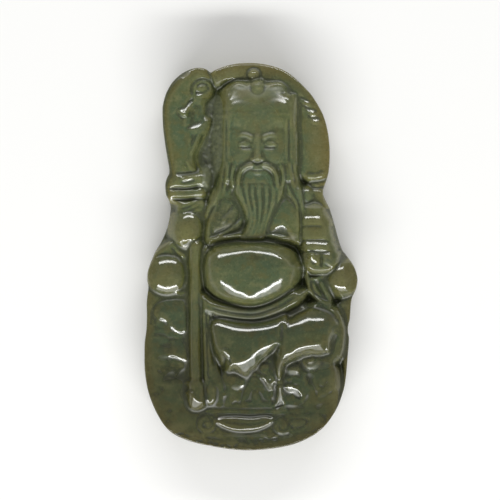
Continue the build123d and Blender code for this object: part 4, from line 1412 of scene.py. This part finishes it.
# Clouds in the stone itself, where the dark ones are partly painted shade in recesses, grooves
# and creases and the pale ones partly painted glints and sheen on the mantle and the hat, and
# places that the polish left satin: middle, half width and height in pixels, and strength
stoneClouds = {
    # partly painted shade in recesses, grooves and creases, partly darker stone
    "shadeAndDarkCloud": [((173, 372), (20, 14), 1.0), ((255, 257), (11, 6), 0.6), ((250, 240), (55, 10), 0.25),
                  ((224, 222), (25, 26), 0.8), ((308, 379), (7, 10), 0.7), ((211, 345), (11, 46), 0.45),
                  ((220, 365), (7, 22), 0.5), ((305, 284), (6, 18), 0.5), ((245, 330), (34, 7), 0.3),
                  ((312, 328), (16, 8), 0.35), ((270, 385), (50, 24), 0.2), ((250, 437), (70, 12), 0.3),
                  ((170, 325), (18, 20), 0.2), ((310, 300), (30, 10), 0.3)],
    "greenCloud": [((250, 275), (64, 44), 0.9), ((250, 345), (60, 44), 0.8),
                   ((226, 215), (26, 32), 0.8), ((255, 200), (34, 50), 0.6),
                   ((190, 125), (22, 50), 0.6), ((236, 120), (18, 44), 0.5)],
    "warmCloud": [((322, 140), (26, 70), 0.8), ((250, 70), (70, 16), 0.7), ((158, 130), (16, 60), 0.5),
                  ((342, 278), (20, 22), 0.8), ((167, 275), (22, 24), 0.6), ((186, 232), (18, 24), 0.5),
                  ((315, 228), (18, 30), 0.5), ((180, 195), (24, 16), 0.4), ((172, 350), (16, 10), 0.5),
                  ((254, 257), (12, 7), 0.6), ((285, 312), (40, 8), 0.5), ((250, 428), (90, 20), 0.4)],
    # partly pale stone, partly a painted glint patch on the mantle and painted sheen on the hat
    "paleAndGlintCloud": [((252, 78), (10, 14), 0.9), ((300, 97), (4.4, 6), 0.8), ((306, 107), (5.6, 6.4), 1.0),
                  ((312.6, 118), (5.6, 6), 1.0), ((257, 96), (34, 14), 0.45),
                  ((284, 100), (12, 16), 0.4), ((340, 225), (9, 34), 0.6), ((338, 388), (18, 34), 0.9),
                  ((168, 272), (12, 12), 0.3), ((178, 426), (15, 8), 0.9), ((195, 435), (14, 6), 0.9),
                  ((232, 75), (16, 10), 0.5), ((308, 420), (26, 10), 0.5), ((158, 372), (8, 8), 0.6),
                  ((240, 95), (24, 8), 0.5), ((314, 150), (14, 30), 0.3), ((300, 105), (16, 20), 0.3),
                  ((166, 215), (10, 30), 0.3)],
    "satin": [((257, 140), (50, 70), 0.75), ((257, 92), (50, 20), 0.7), ((255, 195), (34, 56), 0.6),
              ((208, 345), (12, 60), 0.5), ((228, 222), (28, 22), 0.75), ((290, 237), (14, 8), 0.8),
              ((208, 118), (5, 6), 1.0), ((203, 85), (6, 5), 1.0), ((184, 75), (10, 6), 1.0),
              ((217, 84), (10, 10), 0.9), ((188, 174), (20, 4), 0.9), ((290, 406), (18, 4), 0.9),
              ((163, 357), (8, 5), 1.0), ((268, 386), (8, 7), 0.9), ((280, 398), (6, 9), 0.5),
              ((291, 373), (7, 4), 1.0), ((236, 386), (8, 5), 0.8), ((308, 110), (12, 18), 0.2),
              ((279, 364), (5, 17), 1.0), ((318, 364), (20, 7), 1.0), ((338, 376), (7, 22), 1.0),
              ((284, 434), (14, 5), 1.0), ((245, 312), (72, 12), 1.0), ((326, 262), (9, 10), 0.9),
              ((316, 252.4), (18, 3.4), 1.0), ((313, 206), (15, 5), 1.0), ((222, 230), (14, 7), 1.0),
              ((247, 64), (54, 5), 1.0), ((292, 372), (8, 5), 1.0), ((309, 375), (8, 5), 1.0),
              ((279, 394), (3.4, 13), 0.9), ((245, 434), (36, 3.4), 1.0), ((318, 271), (18, 4), 1.0),
              ((204, 276), (5, 30), 0.8), ((302, 270), (5, 26), 0.8), ((213, 205), (7, 40), 0.8)],
}
for name, spotList in stoneClouds.items():
    storeOnPoints(name, patchShare(spotX, spotY, spotList, stoneMarks["patchEdge"]))


def linearColour(code):
    channels = [int(code[i:i + 2], 16) / 255 for i in (1, 3, 5)]
    return tuple(c / 12.92 if c <= 0.04045 else ((c + 0.055) / 1.055)**2.4 for c in channels) + (1,)


def addNode(tree, kind, settings=None, links=None):
    node = tree.nodes.new(kind)
    for name, value in (settings or {}).items():
        if name in node.inputs.keys() or isinstance(name, int):
            node.inputs[name].default_value = value
        else:
            setattr(node, name, value)
    for socket, source in (links or {}).items():
        tree.links.new(source, node.inputs[socket])
    return node


# Jade: a nephrite or jadeite slice, sawn, ground with the wheel and polished to
# a wet gloss; the colour lies in the stone as clouds from olive to grey green, with painted
# shade in hollows and creases, painted highlights on ridges and the mantle, and a painted
# glow on thin parts
jadeFinish = {
    "tones": {"body": "#575F38", "green": "#46583C", "olive": "#5F5A2E", "deep": "#333A1A",
              "pale": "#77774F", "brown": "#6E6232", "ground": "#666C55", "foot": "#BDB8AC"},
    # noises in the stone: size in mm, detail, roughness and distortion
    "noises": {"clouds": (7.0, 3.0, 0.55, 0.4), "mottles": (1.6, 4.0, 0.6, 0.0),
               "flecks": (0.35, 2.0, 0.6, 0.0)},
    # tones over the body: what each follows, from and to which value, and its most
    "skin": [("rimNear", 0.0, 1.0, 0.8), ("steep", 0.1, 1.1, 0.4)],      # olive, the larger of both
    # of the layers, deep over the dark clouds and the hollows is painted shade, pale over the ridges of
    # fineHollow is a painted highlight, pale over thin is a painted glow, and the pale clouds are partly
    # painted glints and sheen
    "layers": [("green", "greenCloud", 0.0, 1.0, 0.7), ("brown", "warmCloud", 0.0, 1.0, 0.6),
               ("pale", "paleAndGlintCloud", 0.0, 1.0, 0.7), ("deep", "shadeAndDarkCloud", 0.0, 1.0, 0.9),
               ("olive", "mottles", 0.48, 0.64, 0.5), ("pale", "mottles", 0.47, 0.32, 0.4),
               ("pale", "thin", 0.0, 1.0, 0.35), ("deep", "hollow", -0.05, -0.8, 0.5),
               ("deep", "wideHollow", -0.4, -1.6, 0.3), ("deep", "fineHollow", -0.004, -0.035, 0.75),
               ("pale", "fineHollow", 0.006, 0.06, 0.3), ("ground", "unpolished", 0.2, 0.9, 0.7),
               ("pale", "flecks", 0.55, 0.7, 0.38), ("deep", "flecks", 0.45, 0.3, 0.32)],
    "darkFrom": 6.0, "darkTo": -20.0,          # mm, darker toward the foot
    # hollows and steep walls stay duller, because the polishing wheel doesn't reach them
    "dull": [("satin", 0.0, 1.0, 1.0), ("hollow", -0.03, -0.3, 0.5),
             ("fineHollow", -0.004, -0.04, 0.8), ("steep", 0.8, 1.15, 0.4)],
    "roughness": 0.10, "unpolishedRoughness": 0.5, "ior": 1.6,
    "bump": 0.12, "bumpHeight": 0.00003,
    "glow": 0.35, "glowDepth": 0.0012, "glowRadius": (1.0, 1.0, 0.55),
}
tones = {name: linearColour(code) for name, code in jadeFinish["tones"].items()}
stone = bpy.data.materials.new("polishedJade")
stone.use_nodes = True
tree = stone.node_tree
tree.nodes.clear()
place = addNode(tree, "ShaderNodeTexCoord").outputs["Object"]
follows = {}                                   # what a tone or the polish can follow
for name, (size, detail, rough, distortion) in jadeFinish["noises"].items():
    follows[name] = addNode(tree, "ShaderNodeTexNoise", {
        "Scale": 1.0 / (size * millimetre), "Detail": detail, "Roughness": rough,
        "Distortion": distortion}, {"Vector": place}).outputs["Fac"]
for name in ("hollow", "wideHollow", "fineHollow", "rimNear", "thin", "steep", "unpolished",
             *stoneClouds):
    follows[name] = addNode(tree, "ShaderNodeAttribute", {"attribute_name": name}).outputs["Fac"]


def spread(value, low, high, most=1.0):
    return addNode(tree, "ShaderNodeMapRange", {
        "From Min": low, "From Max": high, "To Min": 0.0, "To Max": most,
        "interpolation_type": "SMOOTHSTEP"}, {"Value": value}).outputs["Result"]


def larger(first, second):
    return addNode(tree, "ShaderNodeMath", {"operation": "MAXIMUM"}, {0: first, 1: second}).outputs[0]


# sockets of the mix node for colours: 0 the share, 6 and 7 the two colours
def layOver(share, under, over):
    return addNode(tree, "ShaderNodeMix", {"data_type": "RGBA", "blend_type": "MIX", 7: over},
                   {0: share, 6: under}).outputs[2]


base = addNode(tree, "ShaderNodeMix", {"data_type": "RGBA", "blend_type": "MIX", 6: tones["body"],
               7: tones["green"]}, {0: spread(follows["clouds"], 0.4, 0.62)})
rimSkin, steepSkin = (spread(follows[name], low, high, most)
                      for name, low, high, most in jadeFinish["skin"])
colour = layOver(larger(rimSkin, steepSkin), base.outputs[2], tones["olive"])
for tone, name, low, high, most in jadeFinish["layers"]:
    colour = layOver(spread(follows[name], low, high, most), colour, tones[tone])
upDown = addNode(tree, "ShaderNodeSeparateXYZ", {}, {"Vector": place}).outputs["Y"]
footShare = spread(upDown, jadeFinish["darkFrom"] * millimetre, jadeFinish["darkTo"] * millimetre)
darkened = addNode(tree, "ShaderNodeMix", {"data_type": "RGBA", "blend_type": "MULTIPLY",
                   7: tones["foot"]}, {0: footShare, 6: colour})
fineBump = addNode(tree, "ShaderNodeBump", {
    "Strength": jadeFinish["bump"], "Distance": jadeFinish["bumpHeight"]},
    {"Height": follows["mottles"]})
dullShare = follows["unpolished"]
for name, low, high, most in jadeFinish["dull"]:
    dullShare = larger(dullShare, spread(follows[name], low, high, most))
roughness = addNode(tree, "ShaderNodeMapRange", {
    "From Min": 0.0, "From Max": 1.0, "To Min": jadeFinish["roughness"],
    "To Max": jadeFinish["unpolishedRoughness"]}, {"Value": dullShare})
shader = addNode(tree, "ShaderNodeBsdfPrincipled", {
    "IOR": jadeFinish["ior"], "Subsurface Weight": jadeFinish["glow"],
    "Subsurface Scale": jadeFinish["glowDepth"], "Subsurface Radius": jadeFinish["glowRadius"]}, {
    "Base Color": darkened.outputs[2], "Roughness": roughness.outputs["Result"],
    "Normal": fineBump.outputs["Normal"]})
addNode(tree, "ShaderNodeOutputMaterial", {}, {"Surface": shader.outputs["BSDF"]})
drilled.materials.clear()
drilled.materials.append(stone)
print("jade ready")

# Floor, lamps and camera
studio = {
    "floorSize": 1.6, "floorDrop": 0.00002,    # metres, the floor just clears the flat back
    "floorColour": "#F4F4F2", "floorRoughness": 0.9, "floorSpecular": 0.1, "world": 0.345,
    "lens": 200.0, "sensor": 36.0, "distance": 389.6, "aim": (-0.14, 0.91, 1.75),      # mm
    # soft boxes: degrees from overhead towards +Y, wide and tall in metres, watts
    "softBoxes": {"upperBox": (62, 0.62, 0.06, 1.6), "lowerBox": (-61, 0.78, 0.062, 3.2),
                  "lowPanel": (-71, 0.75, 0.10, 0.7)},
    "boxDistance": 0.5,                        # metres
}
floorMesh = bpy.data.meshes.new("tableTop")
half, low = studio["floorSize"] / 2, -studio["floorDrop"]
floorMesh.from_pydata([(x, y, low) for x, y in ((-half, -half), (half, -half), (half, half),
                                                (-half, half))], [], [(0, 1, 2, 3)])
floor = bpy.data.objects.new("tableTop", floorMesh)
bpy.context.scene.collection.objects.link(floor)
paper = bpy.data.materials.new("whitePaper")
paper.use_nodes = True
paperShader = paper.node_tree.nodes["Principled BSDF"]
paperShader.inputs["Base Color"].default_value = linearColour(studio["floorColour"])
paperShader.inputs["Roughness"].default_value = studio["floorRoughness"]
paperShader.inputs["Specular IOR Level"].default_value = studio["floorSpecular"]
floorMesh.materials.append(paper)

world = bpy.data.worlds.new("studio")
bpy.context.scene.world = world
world.use_nodes = True
world.node_tree.nodes["Background"].inputs["Color"].default_value = (1, 1, 1, 1)
world.node_tree.nodes["Background"].inputs["Strength"].default_value = studio["world"]

for name, (angle, wide, tall, power) in studio["softBoxes"].items():
    lamp = bpy.data.lights.new(name, "AREA")
    lamp.shape, lamp.size, lamp.size_y, lamp.energy = "RECTANGLE", wide, tall, power
    holder = bpy.data.objects.new(name, lamp)
    bpy.context.scene.collection.objects.link(holder)
    direction = Vector((0, math.sin(math.radians(angle)), math.cos(math.radians(angle))))
    holder.location = direction * studio["boxDistance"]
    holder.rotation_euler = direction.to_track_quat("Z", "Y").to_euler()

camera = bpy.data.objects.new("camera", bpy.data.cameras.new("camera"))
bpy.context.scene.collection.objects.link(camera)
aimX, aimY, aimZ = studio["aim"]
camera.data.lens = studio["lens"]
camera.data.sensor_width = studio["sensor"]
camera.location = (aimX * millimetre, aimY * millimetre, (aimZ + studio["distance"]) * millimetre)
camera.rotation_euler = (0, 0, 0)
camera.data.clip_start = 0.01
bpy.context.scene.camera = camera
bpy.context.scene.view_settings.view_transform = "Standard"
print("studio ready")

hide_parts("jade_carving")
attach(carving, "root")
bpy.context.view_layer.update()
